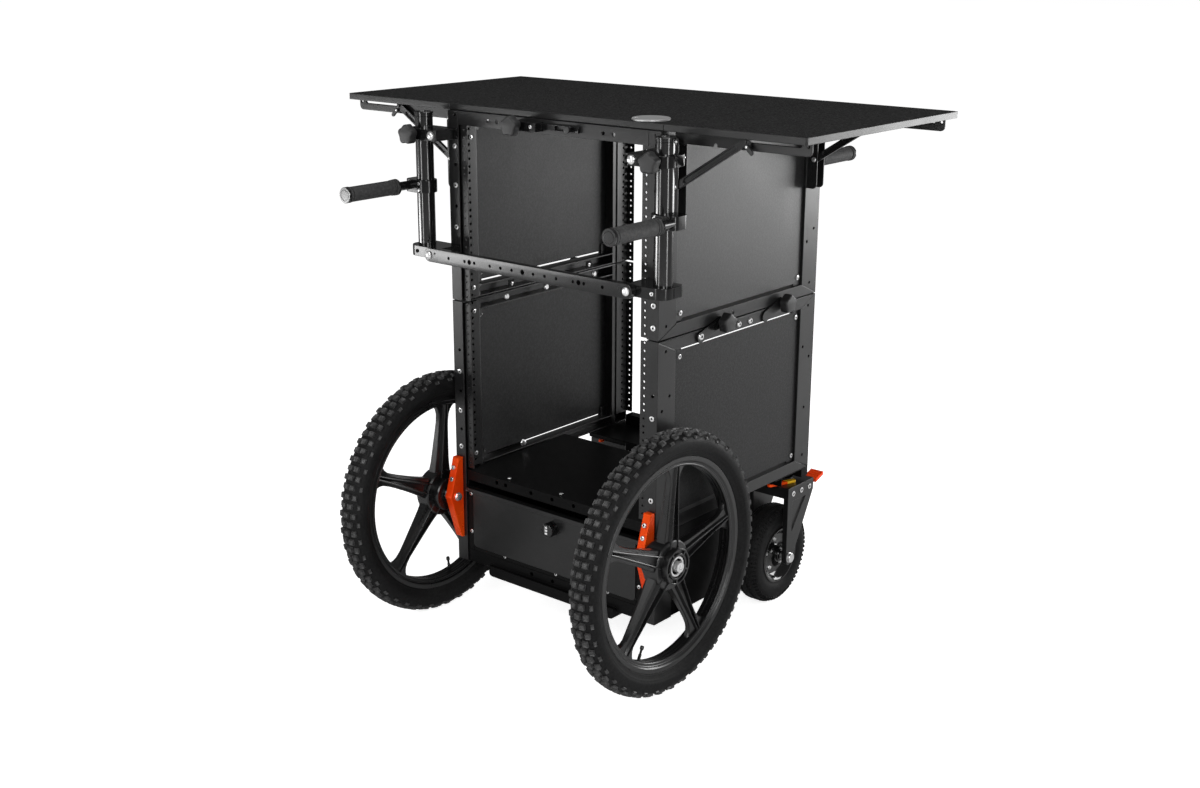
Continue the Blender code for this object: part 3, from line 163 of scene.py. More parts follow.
def makeMottleGroup():
    # a coarse cloudy grain, a few millimetres across
    group, entry, leave = newGroup("coarseMottle", "Amount", 0.2, ["Mask"])
    spread = rangeNode(group, noiseNode(group, entry["Vector"], 200, 3, 0.7), 0.42, 0.66)
    setInputs(group, leave, {"Mask": mathNode(group, "MULTIPLY", spread, entry["Amount"])})
    return group


grainGroup = makeGrainGroup()
mottleGroup = makeMottleGroup()
handlingGroup = makeHandlingGroup()
dustGroup = makeDustGroup()
dustColour = (0.16, 0.15, 0.14)
mottleLift = 4  # how much lighter than the light colour the mottle is
mottleHeight = 2


def startMaterial(name):
    material = bpy.data.materials.new(name)
    material.use_nodes = True
    return material, material.node_tree, material.node_tree.nodes["Principled BSDF"]


def newMaterial(name, settings):
    # two colours blended by handling marks, flecks, dust and mottle where asked for, and a grain bump
    look = {**plainFinish, **settings}
    material, tree, shader = startMaterial(name)
    coords = addNode(tree, "ShaderNodeTexCoord").outputs["Object"]
    if "stretch" in look:
        coords = addNode(tree, "ShaderNodeMapping", {"Vector": coords, "Scale": look["stretch"]}).outputs[0]

    def pattern(group, **inputs):
        return addNode(tree, "ShaderNodeGroup", {"Vector": coords, **inputs}, node_tree=group).outputs

    grain = pattern(grainGroup, Scale=look["grain"])
    marks = pattern(handlingGroup, Scale=look["marks"])["Mask"]
    colour = mixColours(tree, marks, (*look["dark"], 1), look["light"])
    height = grain["Height"]
    if "fleck" in look:
        colour = mixColours(tree, grain["Speckle"], colour, look["fleck"])
    if "dust" in look:
        amount = mathNode(tree, "MULTIPLY", pattern(dustGroup)["Mask"], look["dust"])
        colour = mixColours(tree, amount, colour, dustColour)
    if "mottle" in look:
        patches = pattern(mottleGroup, Amount=look["mottle"])["Mask"]
        colour = mixColours(tree, patches, colour, [mottleLift * value for value in look["light"]])
        height = mathNode(tree, "ADD", height, mathNode(tree, "MULTIPLY", patches, mottleHeight))
    bump = {"Height": height, "Strength": look["bump"], "Distance": look["depth"]}
    setInputs(tree, shader, {
        "Base Color": colour, "Roughness": rangeNode(tree, marks, 0, 1, *look["rough"]),
        "Metallic": look["metallic"], "IOR": look["ior"], "Specular IOR Level": look["specular"],
        "Normal": addNode(tree, "ShaderNodeBump", bump).outputs["Normal"],
    })
    return material


# grain and marks are the scales of their patterns, rough runs from the clean to the marked parts
plainFinish = {
    "grain": 3000, "marks": 9, "bump": 0.08, "depth": 0.0001, "metallic": 0, "ior": 1.5, "specular": 0.5,
}
sidePanelCoat = {
    "dark": (0.006, 0.006, 0.0062), "light": (0.010, 0.010, 0.0103), "rough": (0.40, 0.45),
    "grain": 1100, "marks": 6, "bump": 0.3, "depth": 0.0003, "mottle": 0.34,
}
finishes = {
    "powderCoat": {
        "dark": (0.0042, 0.0042, 0.0044), "light": (0.007, 0.007, 0.0072), "rough": (0.32, 0.38),
        "grain": 1300, "bump": 0.14, "depth": 0.0002, "mottle": 0.10,
    },
    "satinCoat": {
        "dark": (0.005, 0.005, 0.0052), "light": (0.007, 0.007, 0.0072), "rough": (0.15, 0.18),
        "grain": 1800, "bump": 0.04,
    },
    # a darker, less reflective copy of the powder coat for the base and chassis: it paints the shade that the
    # deck lies in
    "shadedBaseCoat": {
        "dark": (0.003, 0.003, 0.0031), "light": (0.0045, 0.0045, 0.0046), "rough": (0.38, 0.44),
        "grain": 1300, "bump": 0.14, "depth": 0.0002, "specular": 0.2, "ior": 1.3, "mottle": 0.05,
    },
    # one panel coat in two copies: the upper right panel's reflects more strongly, a painted reflection, and
    # the other panels' less
    "reflectionLitPanelCoat": {**sidePanelCoat, "ior": 1.55},
    "reflectionShadedPanelCoat": {**sidePanelCoat, "ior": 1.34},
    "tubeAnodised": {
        "dark": (0.004, 0.004, 0.0042), "light": (0.006, 0.006, 0.0062), "rough": (0.13, 0.17),
        "grain": 2500, "bump": 0.05, "stretch": (1, 1, 0.03), "specular": 1,
    },
    "blackAnodised": {
        "dark": (0.003, 0.003, 0.0032), "light": (0.005, 0.005, 0.0052), "rough": (0.14, 0.18),
        "grain": 2200, "bump": 0.06, "specular": 0.55,
    },
    "orangeAnodised": {
        "dark": (0.98, 0.055, 0.003), "light": (1, 0.10, 0.006), "rough": (0.24, 0.30),
        "grain": 2600, "bump": 0.10, "metallic": 0.3, "specular": 0.2,
    },
    "yellowAnodised": {
        "dark": (1, 0.56, 0.02), "light": (1, 0.62, 0.03), "rough": (0.3, 0.38),
        "grain": 2600, "bump": 0.10, "metallic": 0.4,
    },
    "gripRubber": {
        "dark": (0.028, 0.028, 0.0283), "light": (0.038, 0.038, 0.0384), "rough": (0.6, 0.72),
        "grain": 1500, "marks": 22, "bump": 0.45, "depth": 0.0004, "specular": 0.3, "mottle": 0.2,
    },
    "knobPlastic": {
        "dark": (0.015, 0.015, 0.0153), "light": (0.021, 0.021, 0.0214), "rough": (0.38, 0.46),
        "grain": 1500, "marks": 30, "bump": 0.2, "depth": 0.0003, "specular": 0.45,
    },
    # a darker copy of the tread rubber: on the front tyres it paints the shade between the tread blocks and
    # on the sidewalls; the caster tyres and lugs are made of it too
    "shadedTyreRubber": {
        "dark": (0.005, 0.005, 0.0052), "light": (0.008, 0.008, 0.0082), "rough": (0.5, 0.62), "grain": 700,
        "marks": 14, "bump": 0.3, "depth": 0.0004, "dust": 0.05, "mottle": 0.2, "specular": 0.12,
    },
    "treadRubber": {
        "dark": (0.018, 0.018, 0.0183), "light": (0.034, 0.034, 0.0343), "rough": (0.4, 0.5),
        "grain": 700, "marks": 34, "bump": 0.3, "depth": 0.0004, "dust": 0.2, "mottle": 0.4,
    },
    "wheelNylon": {
        "dark": (0.004, 0.004, 0.0042), "light": (0.007, 0.007, 0.0072), "rough": (0.26, 0.32),
        "grain": 1600, "bump": 0.10, "depth": 0.0002, "specular": 0.6,
    },
    "glossyRim": {
        "dark": (0.003, 0.003, 0.003), "light": (0.005, 0.005, 0.005), "rough": (0.10, 0.16),
        "grain": 1900, "bump": 0.04, "specular": 0.7,
    },
    "brushedCap": {
        "dark": (0.40, 0.40, 0.40), "light": (0.52, 0.52, 0.52), "rough": (0.38, 0.48),
        "grain": 2400, "bump": 0.1, "metallic": 0.7,
    },
    "zincSteel": {
        "dark": (0.66, 0.66, 0.66), "light": (0.82, 0.82, 0.82), "rough": (0.24, 0.34), "metallic": 0.85,
    },
    # flat black that paints shade: in the screw sockets, round the drawer, in the square recesses by the seam
    # and on the left tube foot screw
    "socketBlack": {
        "dark": (0.002, 0.002, 0.002), "light": (0.003, 0.003, 0.003), "rough": (0.6, 0.7), "specular": 0.15,
    },
    "whiteMark": {
        "dark": (0.72, 0.72, 0.72), "light": (0.80, 0.80, 0.80), "rough": (0.4, 0.5), "bump": 0.06,
    },
    "carpetLoop": {
        "dark": (0.012, 0.012, 0.0121), "light": (0.018, 0.018, 0.0182), "rough": (0.9, 1), "grain": 420,
        "marks": 24, "bump": 1, "depth": 0.003, "fleck": (0.046, 0.0457, 0.0452), "specular": 0.08,
        "mottle": 0.9,
    },
}
coats = {name: newMaterial(name, settings) for name, settings in finishes.items()}
print("materials made")


# Shape tools
def outlineOf(corners, steps=8):
    # corners are (u, v, radius), and each radius becomes an arc
    points = []
    for index, (u, v, radius) in enumerate(corners):
        here = Vector((u, v))
        if radius <= 0:
            points.append((u, v))
            continue
        before = (Vector(corners[index - 1][:2]) - here).normalized()
        after = (Vector(corners[(index + 1) % len(corners)][:2]) - here).normalized()
        half = 0.5 * before.angle(after)
        centre = here + (before + after).normalized() * radius / math.sin(half)
        start = here + before * radius / math.tan(half) - centre
        end = here + after * radius / math.tan(half) - centre
        turn = start.angle_signed(end)
        for step in range(steps + 1):
            points.append(tuple(centre + Matrix.Rotation(-turn * step / steps, 2) @ start))
    return points


def ringOf(centre, radius, count):
    turns = [2 * math.pi * index / count for index in range(count)]
    return [(centre[0] + radius * math.cos(turn), centre[1] + radius * math.sin(turn)) for turn in turns]


def stadium(first, second, radius, steps=12):
    along = Vector(second) - Vector(first)
    heading = math.atan2(along.y, along.x)
    points = []
    for centre, base in ((second, heading - math.pi / 2), (first, heading + math.pi / 2)):
        for step in range(steps + 1):
            angle = base + math.pi * step / steps
            points.append((centre[0] + radius * math.cos(angle), centre[1] + radius * math.sin(angle)))
    return points


def stepsFrom(base, way, profile):
    # (radius, along) pairs whose second value is counted from base in the given direction
    return [(radius, base + way * step) for radius, step in profile]


def doubled(half):
    # a profile followed by its mirror image, with a point on the middle plane taken once
    return half + [(radius, -reach) for radius, reach in reversed(half) if reach]


def spot(axis, u, v, along):
    if axis == "x":
        return Vector((along, u, v))
    if axis == "y":
        return Vector((u, along, v))
    return Vector((u, v, along))


def addObject(name, data):
    item = bpy.data.objects.new(name, data)
    bpy.context.scene.collection.objects.link(item)
    return item


def toMesh(bm, name):
    mesh = bpy.data.meshes.new(name)
    bm.to_mesh(mesh)
    bm.free()
    return mesh


def merge(bm, shape, matrix=None):
    # adds a closed shape to a piece
    if matrix is not None:
        bmesh.ops.transform(shape, verts=shape.verts, matrix=matrix)
    part = toMesh(shape, "part")
    bm.from_mesh(part)
    bpy.data.meshes.remove(part)


def plate(bm, outline, axis, low, high):
    # an outline across an axis, extruded along it
    face = bm.faces.new([bm.verts.new(spot(axis, u, v, low)) for u, v in outline])
    grown = bmesh.ops.extrude_face_region(bm, geom=[face])["geom"]
    moved = [item for item in grown if isinstance(item, bmesh.types.BMVert)]
    bmesh.ops.translate(bm, verts=moved, vec=spot(axis, 0, 0, high - low))
    return [item for item in grown if isinstance(item, bmesh.types.BMFace)][0]


def block(bm, low, high):
    size = Vector(high) - Vector(low)
    place = Matrix.Translation((Vector(high) + Vector(low)) / 2) @ Matrix.Diagonal((*size, 1))
    bmesh.ops.create_cube(bm, size=1, matrix=place)


def sideBlock(bm, side, low, high):
    # a block given by its corners on the right side
    near, far = span(side, low[0], high[0])
    block(bm, (near, *low[1:]), (far, *high[1:]))


def rod(bm, axis, centre, radius, low, high, count):
    plate(bm, ringOf(centre, radius, count), axis, low, high)


def turned(bm, profile, axis, centre, count):
    # (radius, along) pairs spun round an axis: open where both ends lie on it, else a closed loop
    shape = bmesh.new()
    line = [shape.verts.new(spot(axis, radius, 0, along)) for radius, along in profile]
    first = 1 if profile[0][0] == 0 and profile[-1][0] == 0 else 0
    edges = [shape.edges.new((line[index - 1], line[index])) for index in range(first, len(line))]
    bmesh.ops.spin(
        shape, geom=line + edges, cent=(0, 0, 0), axis=spot(axis, 0, 0, 1),
        angle=2 * math.pi, steps=count, use_merge=True,
    )
    bmesh.ops.remove_doubles(shape, verts=shape.verts, dist=0.001)
    merge(bm, shape, Matrix.Translation(spot(axis, *centre, 0)))


def loft(bm, rings):
    # closed rings of points joined one after another, with both ends closed
    loops = []
    for ring in rings:
        verts = [bm.verts.new(point) for point in ring]
        loops.append([bm.edges.new((verts[index - 1], verts[index])) for index in range(len(verts))])
    for first, second in zip(loops, loops[1:]):
        bmesh.ops.bridge_loops(bm, edges=first + second)
    for loop in (loops[0], loops[-1]):
        bmesh.ops.contextual_create(bm, geom=loop)


def cutAt(bm, place, normal):
    # takes off what lies on the normal's side of a plane, and returns the cut edges
    geom = bm.verts[:] + bm.edges[:] + bm.faces[:]
    made = bmesh.ops.bisect_plane(bm, geom=geom, plane_co=place, plane_no=normal, clear_outer=True)
    return [item for item in made["geom_cut"] if isinstance(item, bmesh.types.BMEdge)]


def simplify(bm):
    # many-sided faces become triangles and quads, so that edges soften cleanly
    bmesh.ops.triangulate(bm, faces=[face for face in bm.faces if len(face.verts) > 4])
    bmesh.ops.join_triangles(
        bm, faces=bm.faces, angle_face_threshold=math.radians(0.5), angle_shape_threshold=math.pi,
    )


def copyNode(node):
    bm = bmesh.new()
    bm.from_mesh(frame["nodes"][node].data)
    bmesh.ops.remove_doubles(bm, verts=bm.verts, dist=0.00002)
    bmesh.ops.translate(bm, verts=bm.verts, vec=(0, -rackFace, 0))
    bmesh.ops.scale(bm, verts=bm.verts, vec=(1000, 1000, 1000))
    return bm


def mirrorShape(bm, side):
    if side < 0:
        bmesh.ops.scale(bm, verts=bm.verts, vec=(-1, 1, 1))
        bmesh.ops.reverse_faces(bm, faces=bm.faces)


def drill(bm, cutter):
    # cuts the closed shapes in cutter out of bm
    pair = []
    for name, shape in (("blank", bm), ("cutter", cutter)):
        bmesh.ops.recalc_face_normals(shape, faces=shape.faces)
        pair.append(addObject(name, toMesh(shape, name)))
    blank, tool = pair
    cut = blank.modifiers.new("cut", "BOOLEAN")
    cut.operation = "DIFFERENCE"
    cut.object = tool
    bpy.context.view_layer.update()
    result = bpy.data.meshes.new_from_object(blank.evaluated_get(bpy.context.evaluated_depsgraph_get()))
    made = bmesh.new()
    made.from_mesh(result)
    for item in pair:
        bpy.data.objects.remove(item, do_unlink=True)
    return made


def roundEdges(bm, edges, width, segments):
    bmesh.ops.bevel(
        bm, geom=edges, offset=width, segments=segments, profile=0.5,
        affect="EDGES", clamp_overlap=False, material=-1,
    )


def soften(bm, width, segments, sharp):
    simplify(bm)
    edges = [edge for edge in bm.edges if edge.is_manifold and edge.calc_length() > 2 * width]
    edges = [edge for edge in edges if edge.calc_face_angle(0) > math.radians(sharp)]
    roundEdges(bm, edges, width, segments)


def settle(
    bm, name, node, coat, slot, replaced=(),
    bevel=0, segments=2, sharp=32, clean=True, side=1, place=(0, 0, 0),
):
    # turns a finished shape of the right side into a piece of the cart that rides on its node's body
    bmesh.ops.translate(bm, verts=bm.verts, vec=place)
    mirrorShape(bm, side)
    if clean:
        bmesh.ops.remove_doubles(bm, verts=bm.verts, dist=0.0005)
        bmesh.ops.recalc_face_normals(bm, faces=bm.faces)
    if bevel:
        soften(bm, bevel, segments, sharp)
    bmesh.ops.scale(bm, verts=bm.verts, vec=(0.001, 0.001, 0.001))
    bmesh.ops.translate(bm, verts=bm.verts, vec=(0, rackFace, 0))
    mesh = toMesh(bm, name)
    mesh.materials.append(coats[coat])
    mesh.shade_smooth()
    mesh.set_sharp_from_angle(angle=math.radians(sharp + 4))
    piece = addObject(name, mesh)
    if bevel:
        piece.modifiers.new("flatFaces", "WEIGHTED_NORMAL").keep_sharp = True
    body = frame["nodes"][node]["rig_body"]
    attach(piece, body)
    if replaced:
        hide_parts(*replaced)


def spunPiece(name, node, coat, slot, profile, axis, centre, count=64, **options):
    # a piece that is one turned shape
    bm = bmesh.new()
    turned(bm, profile, axis, centre, count)
    settle(bm, name, node, coat, slot, **options)


def dress(node, coat, bevel, holes=None, segments=2, suffix="coated", changed=None, grooves=None):
    # the CAD node's own shape with softened edges, round holes and a finish
    bm = copyNode(node)
    if holes:
        cutter = grooves or bmesh.new()
        for axis, centre, radius, low, high in holes:
            rod(cutter, axis, centre, radius, low, high, 20)
        bm = drill(bm, cutter)
    if changed:
        changed(bm)
    settle(bm, f"{node}_{suffix}", node, coat, slotNames[node], [node], bevel, segments, clean=False)


screwKinds = {
    "button": {"count": 24, "rise": 0.62, "drive": 0.40},
    "socket": {"count": 24, "rise": 0.14, "drive": 0.46},
    "disc": {"count": 32, "rise": 0.40, "drive": 0},
    "hex": {"count": 6, "rise": 0.14, "drive": 0},
}


def screwShape(place, facing, radius, height, kind):
    # a head with a rounded crown; where it has a socket, a black hexagon set into the crown paints the
    # socket's shade
    look = screwKinds[kind]
    aim = Matrix.Translation(Vector(place)) @ Vector(facing).to_track_quat("Z", "Y").to_matrix().to_4x4()
    head = bmesh.new()
    top = plate(head, ringOf((0, 0), radius, look["count"]), "z", 0, height * (1 - look["rise"]))
    for share, climb in ((0.12, 0.55), (0.16, 0.45)):
        bmesh.ops.inset_region(head, faces=[top], thickness=radius * share)
        bmesh.ops.translate(head, verts=top.verts, vec=(0, 0, height * climb * look["rise"]))
    if kind == "hex":
        rod(head, "z", (0, 0), radius * 1.12, 0, height * 0.22, 28)  # washer
    bmesh.ops.recalc_face_normals(head, faces=head.faces)
    socket = None
    # the socket is not cut: a flat black prism in the head paints its shade
    if look["drive"]:
        socket = bmesh.new()
        plate(socket, ringOf((0, 0), radius * look["drive"], 6), "z", height * 0.4, height + 0.06)
        bmesh.ops.recalc_face_normals(socket, faces=socket.faces)
        bmesh.ops.transform(socket, verts=socket.verts, matrix=aim)
    bmesh.ops.transform(head, verts=head.verts, matrix=aim)
    return head, socket


def screws(name, node, places, facing, radius, height, kind, coat="zincSteel", side=1):
    # places and facing are given for the right side
    heads = bmesh.new()
    socketShades = bmesh.new()
    facing = (side * facing[0], *facing[1:])
    for x, y, z in places:
        head, socket = screwShape((side * x, y, z), facing, radius, height, kind)
        merge(heads, head)
        if socket:
            merge(socketShades, socket)
    settle(heads, name, node, coat, "cap_metal", sharp=34)
    if socketShades.faces:
        settle(socketShades, f"{name}_sockets", node, "socketBlack", "black_anodised", sharp=34)


def sideScrews(name, node, side, x, way, spots, *head):
    # on an upright face across x, which looks outwards where way is 1; spots are y and z
    screws(name, node, [(x, y, z) for y, z in spots], (way, 0, 0), *head, side=side)


def frontScrews(name, node, y, spots, *head, side=1):
    # on a face that looks forwards; spots are x and z
    screws(name, node, [(x, y, z) for x, z in spots], (0, -1, 0), *head, side=side)


# Camera, light and floor
studio = {
    "cameraPlace": (1.95467, -2.39514, 1.41898), "turn": 39.76578, "tilt": 16.70059, "roll": 0.17374,
    "lens": 46.03, "floorColour": (0.86, 0.86, 0.86), "floorSize": 60, "floorGlow": 0.80,
    "skyOnMatt": 0.26, "skyInGloss": 0.14,
}
softboxes = {
    # the first one has no aim and lies on the floor, facing up
    "floorPanel": {"place": (-3.86, -2.95, 0.02), "size": (2.3, 1.9), "radiance": 14},
    "frontSoftbox": {"place": (-0.9, -3.1, 2.5), "aim": (0, -0.1, 0.7), "size": (1.6, 1.2), "radiance": 4},
    "cameraSoftbox": {"place": (2.3, -2.3, 1.9), "aim": (0, 0, 0.5), "size": (0.8, 1.6), "radiance": 9},
    "rightRearSoftbox": {
        "place": (1.35, 2.52, 0.86), "aim": (0.27, 0.1, 0.86), "size": (1.6, 0.92), "radiance": 7.5,
    },
    "overheadSoftbox": {"place": (0.2, 0.2, 3.2), "aim": (0, 0, 0.6), "size": (2, 1.6), "radiance": 2},
    "frontStrip": {"place": (-0.45, -2.75, 1.15), "aim": (0.3, 0, 0.9), "size": (0.3, 1.9), "radiance": 8},
    "rightStrip": {"place": (2.8, -0.75, 1.15), "aim": (0.3, 0, 0.9), "size": (0.3, 1.9), "radiance": 8},
}


def addCamera():
    data = bpy.data.cameras.new("studioCamera")
    data.lens = studio["lens"]
    data.sensor_width = 36
    data.sensor_fit = "HORIZONTAL"
    camera = addObject("studioCamera", data)
    place = Matrix.Translation(studio["cameraPlace"])
    turns = (("Z", studio["turn"]), ("X", 90 - studio["tilt"]), ("Z", studio["roll"]))
    for axis, degrees in turns:
        place = place @ Matrix.Rotation(math.radians(degrees), 4, axis)
    camera.matrix_world = place
    bpy.context.scene.camera = camera


def addSoftbox(name, settings):
    width, height = settings["size"]
    data = bpy.data.lights.new(name, "AREA")
    data.shape = "RECTANGLE"
    data.size, data.size_y = width, height
    data.energy = settings["radiance"] * math.pi * width * height
    lamp = addObject(name, data)
    lamp.location = settings["place"]
    lamp.rotation_euler = (math.pi, 0, 0)
    if "aim" in settings:
        aim = Vector(settings["aim"]) - Vector(settings["place"])
        lamp.rotation_euler = aim.to_track_quat("-Z", "Y").to_euler()
    lamp.visible_camera = False


def addWorld():
    world = bpy.data.worlds.new("studioWorld")
    bpy.context.scene.world = world
    world.use_nodes = True
    tree = world.node_tree
    tree.nodes.clear()
    path = addNode(tree, "ShaderNodeLightPath").outputs
    seen = mathNode(tree, "MAXIMUM", path["Is Camera Ray"], path["Is Transmission Ray"])
    skies = []
    for level in (studio["skyOnMatt"], studio["skyInGloss"], 1):
        links = {"Color": (1, 1, 1, 1), "Strength": level}
        skies.append(addNode(tree, "ShaderNodeBackground", links).outputs[0])
    matt, gloss, plain = skies
    lit = addNode(tree, "ShaderNodeMixShader", {0: path["Is Glossy Ray"], 1: matt, 2: gloss})
    mixed = addNode(tree, "ShaderNodeMixShader", {0: seen, 1: lit.outputs[0], 2: plain})
    addNode(tree, "ShaderNodeOutputWorld", {"Surface": mixed.outputs[0]})


def addFloor():
    bm = bmesh.new()
    bmesh.ops.create_grid(bm, x_segments=1, y_segments=1, size=studio["floorSize"] / 2)
    floor = addObject("studioFloor", toMesh(bm, "studioFloor"))
    material, tree, shader = startMaterial("studioFloor")
    colour = (*studio["floorColour"], 1)
    setInputs(tree, shader, {"Base Color": colour, "Roughness": 0.9, "Specular IOR Level": 0})
    path = addNode(tree, "ShaderNodeLightPath")
    level = mathNode(tree, "MULTIPLY", path.outputs["Is Camera Ray"], studio["floorGlow"])
    glow = addNode(tree, "ShaderNodeEmission", {"Color": (1, 1, 1, 1), "Strength": level})
    mixed = addNode(tree, "ShaderNodeAddShader", {0: shader.outputs[0], 1: glow.outputs[0]})
    setInputs(tree, tree.nodes["Material Output"], {"Surface": mixed.outputs[0]})
    floor.data.materials.append(material)


addCamera()
for name, settings in softboxes.items():
    addSoftbox(name, settings)
addWorld()
addFloor()
bpy.context.scene.view_settings.view_transform = "Standard"
print("camera, light and floor made")

# Table: pressed pans under loop carpet
table = {"rim": 4.5, "seam": 1, "carpetRise": 0.7, "carpetSink": 1.2, "edge": 1.1, "capGap": 0.3}
cap = {
    "stem": 24, "stemBore": 21, "turn": 50, "mouth": ((-3, -6, 0), (13, -6, 5.5), (13, 6, 5.5), (-3, 6, 0)),
}


def addTable():
    top = boxOf("centre_top")[1].z
    leafLow, leafHigh = boxOf("left_table_leaf")
    front, rear = leafLow.y + table["rim"], leafHigh.y - table["rim"]
    for node, left, right in (
        ("centre_top", "seam", "seam"), ("left_table_leaf", "rim", "seam"),
        ("right_table_leaf", "seam", "rim"),
    ):
        dress(node, "powderCoat", table["edge"], segments=3, suffix="pan")
        low, high = boxOf(node)
        bm = bmesh.new()
        corner = (high.x - table[right], rear, top + table["carpetRise"])
        block(bm, (low.x + table[left], front, top - table["carpetSink"]), corner)
        if node == "centre_top":
            capLow, capHigh = boxOf("cable_pass_cap")
            middle = (capLow + capHigh) / 2
            radius = (capHigh.x - capLow.x) / 2 + table["capGap"]
            hole = bmesh.new()
            rod(hole, "z", (middle.x, middle.y), radius, top - 20, top + 20, 64)
            bm = drill(bm, hole)
        settle(bm, f"{node}_carpet", node, "carpetLoop", "carpet_top", bevel=0.5)


def addCap():
    low, high = boxOf("cable_pass_cap")
    top = boxOf("centre_top")[1].z
    centre = ((low.x + high.x) / 2, (low.y + high.y) / 2)
    radius = (high.x - low.x) / 2
    rise = high.z - top
    bore, stem = cap["stemBore"], cap["stem"]
    profile = [
        (0, 1.6), (bore, 1.6), (bore, -3.5), (stem, -3.5), (stem, 0.4), (radius, 0.4), (radius, rise - 1.6),
        (radius - 0.5, rise - 0.6), (radius - 1.8, rise), (0, rise),
    ]
    bm = bmesh.new()
    turned(bm, stepsFrom(top, 1, profile), "z", centre, 72)
    mouth = bmesh.new()
    corners = [(centre[0] - radius + x, centre[1] + y, corner) for x, y, corner in cap["mouth"]]
    plate(mouth, outlineOf(corners), "z", top, top + 10)
    spin = Matrix.Rotation(math.radians(cap["turn"]), 3, "Z")
    bmesh.ops.rotate(mouth, verts=mouth.verts, cent=(*centre, 0), matrix=spin)
    bm = drill(bm, mouth)
    settle(bm, "cable_cap_lid", "cable_pass_cap", "brushedCap", "cap_metal", ["cable_pass_cap"], bevel=0.4)


addTable()
addCap()
print("table made")

# Frames, panels and rack rails
rack = {
    "unit": 44.45, "first": 6.35, "step": 15.875, "x": 232.55, "thread": 2.5, "ring": 4.2,
    "split": 688.5, "upperRise": 4.58,
}
frames = {
    # x of the outer and inner faces and of what the holes in the web and in the inner wall go through
    "outer": 270, "inner": 242, "webFace": 239.5, "web": (236, 244), "innerWall": (240, 245.6), "wall": 3.6,
    # y and z of the window's edges and of the frame's ends, and the hole columns behind the rack faces
    "frontEdge": 49, "rearEdge": 484, "rear": 539, "lowerEnds": (301.5, 689.5), "windowRise": 25,
    "rearColumn": 20.5, "frontColumn": 21.5,
    "holes": {"web": 2.9, "front": 3.6, "side": 3.4, "inner": 4.4, "slot": 4},
}
frontPost = {
    # x of the column in a side frame's front face, then z of its screws and of its open holes
    "upper_left": (-251.3, (1009.3, 930.6, 844.8), (1071.7, 972.2, 887.9)),
    "lower_left": (-252.5, (539, 453.3, 373), (495.5, 411.4, 585)),
    "upper_right": (258.5, (758.2, 715.7), (843.6, 972.2, 1071.7)),
    "lower_right": (258.5, (538.9, 453.3, 373), (583, 495.5)),
}
sidePost = {
    # y and z of the open holes in the outer faces of the posts
    "upper": [(521.2, 831.2), (496.5, 806.5), (512.7, 717.2), (17.9, 716.4)],
    "lower": [
        (511.8, 667.9), (497.8, 579.5), (523, 554.2), (511.7, 442.6), (513.1, 334),
        (18.2, 667.6), (31.7, 577.8), (8.4, 552.1),
    ],
}
panelScrews = {
    "upper": [(67, 732.4), (472.6, 733.2), (67, 1052), (472.6, 1052)],
    "lower": [(67.3, 647), (472.2, 648.3), (67.3, 340.6), (476.3, 340.6)],
}
seam = {
    # y and z on the rails where the upper and the lower frames meet
    "outerBolts": [(256, 675.5), (295, 675.5)],
    "innerBolts": [(125.6, 678.6), (252.5, 677.5), (415.7, 679.5)],
    "innerHoles": {"lower": [(144.3, 678.7), (161, 678.6)], "upper": [(163.9, 703.2), (415.6, 704.3)]},
    # y and z of black squares that paint the shade of square recesses, and x of their faces
    "slot": (236, 703), "recessShades": [(142.3, 703.2), (397.4, 703.2)], "recessShadeX": (240.4, 242),
    "sillBolt": [(172.9, 338.4)],
    "webScrews": {"upper": [(25, 1025.2), (25, 714.7)], "lower": [(25, 664.8), (22.3, 353.1)]},
}
straps = {
    # y of the bolt end and of the knob end, and the finish
    "front": (125, 190.6, "blackAnodised"), "rear": (346.7, 405, "powderCoat"),
    "z": (674.5, 693.5), "x": (270.15, 274), "radius": 11, "bolt": [(121.5, 677.5)],
}


def rackHeights(node):
    # three holes to each rack unit
    unit = rack["unit"]
    start = rack["split"] + rack["upperRise"] if node.startswith("upper") else rack["split"] - 8 * unit
    first, step = rack["first"], rack["step"]
    return [start + count * unit + first + row * step for count in range(8) for row in range(3)]


def webHoles(node, y):
    # the second column of holes, in the rail's web beside the post
    reach = span(sideOf(node), *frames["web"])
    return [("x", (y, z), frames["holes"]["web"], *reach) for z in rackHeights(node)]


def addThreads(node, near, far):
    # threaded rings in the rack holes
    rings = bmesh.new()
    ring, thread = rack["ring"], rack["thread"]
    for z in rackHeights(node):
        profile = [(ring, near), (ring, far), (thread, far), (thread, near)]
        turned(rings, profile, "y", (sideOf(node) * rack["x"], z), 12)
    settle(rings, f"{node}_rack_threads", node, "powderCoat", slotNames[node])


def roundInnerCorner(bm, side):
    # the inner rear edge of a front post has a wide radius
    simplify(bm)
    chosen = []
    for edge in bm.edges:
        first, second = (vert.co for vert in edge.verts)
        upright = abs(first.x - second.x) < 0.1 and abs(first.y - second.y) < 0.1
        atCorner = abs(side * first.x - frames["inner"]) < 0.3 and abs(first.y - frames["frontEdge"]) < 0.5
        if upright and atCorner and edge.calc_length() > 60:
            chosen.append(edge)
    roundEdges(bm, chosen, 5, 4)


def trimStraps(bm, side):
    # the latch straps come off the frame's own shape, to be made as pieces of their own
    cutAt(bm, (side * straps["x"][0], 0, 0), (side, 0, 0))
    bmesh.ops.holes_fill(bm, edges=[edge for edge in bm.edges if edge.is_boundary], sides=0)


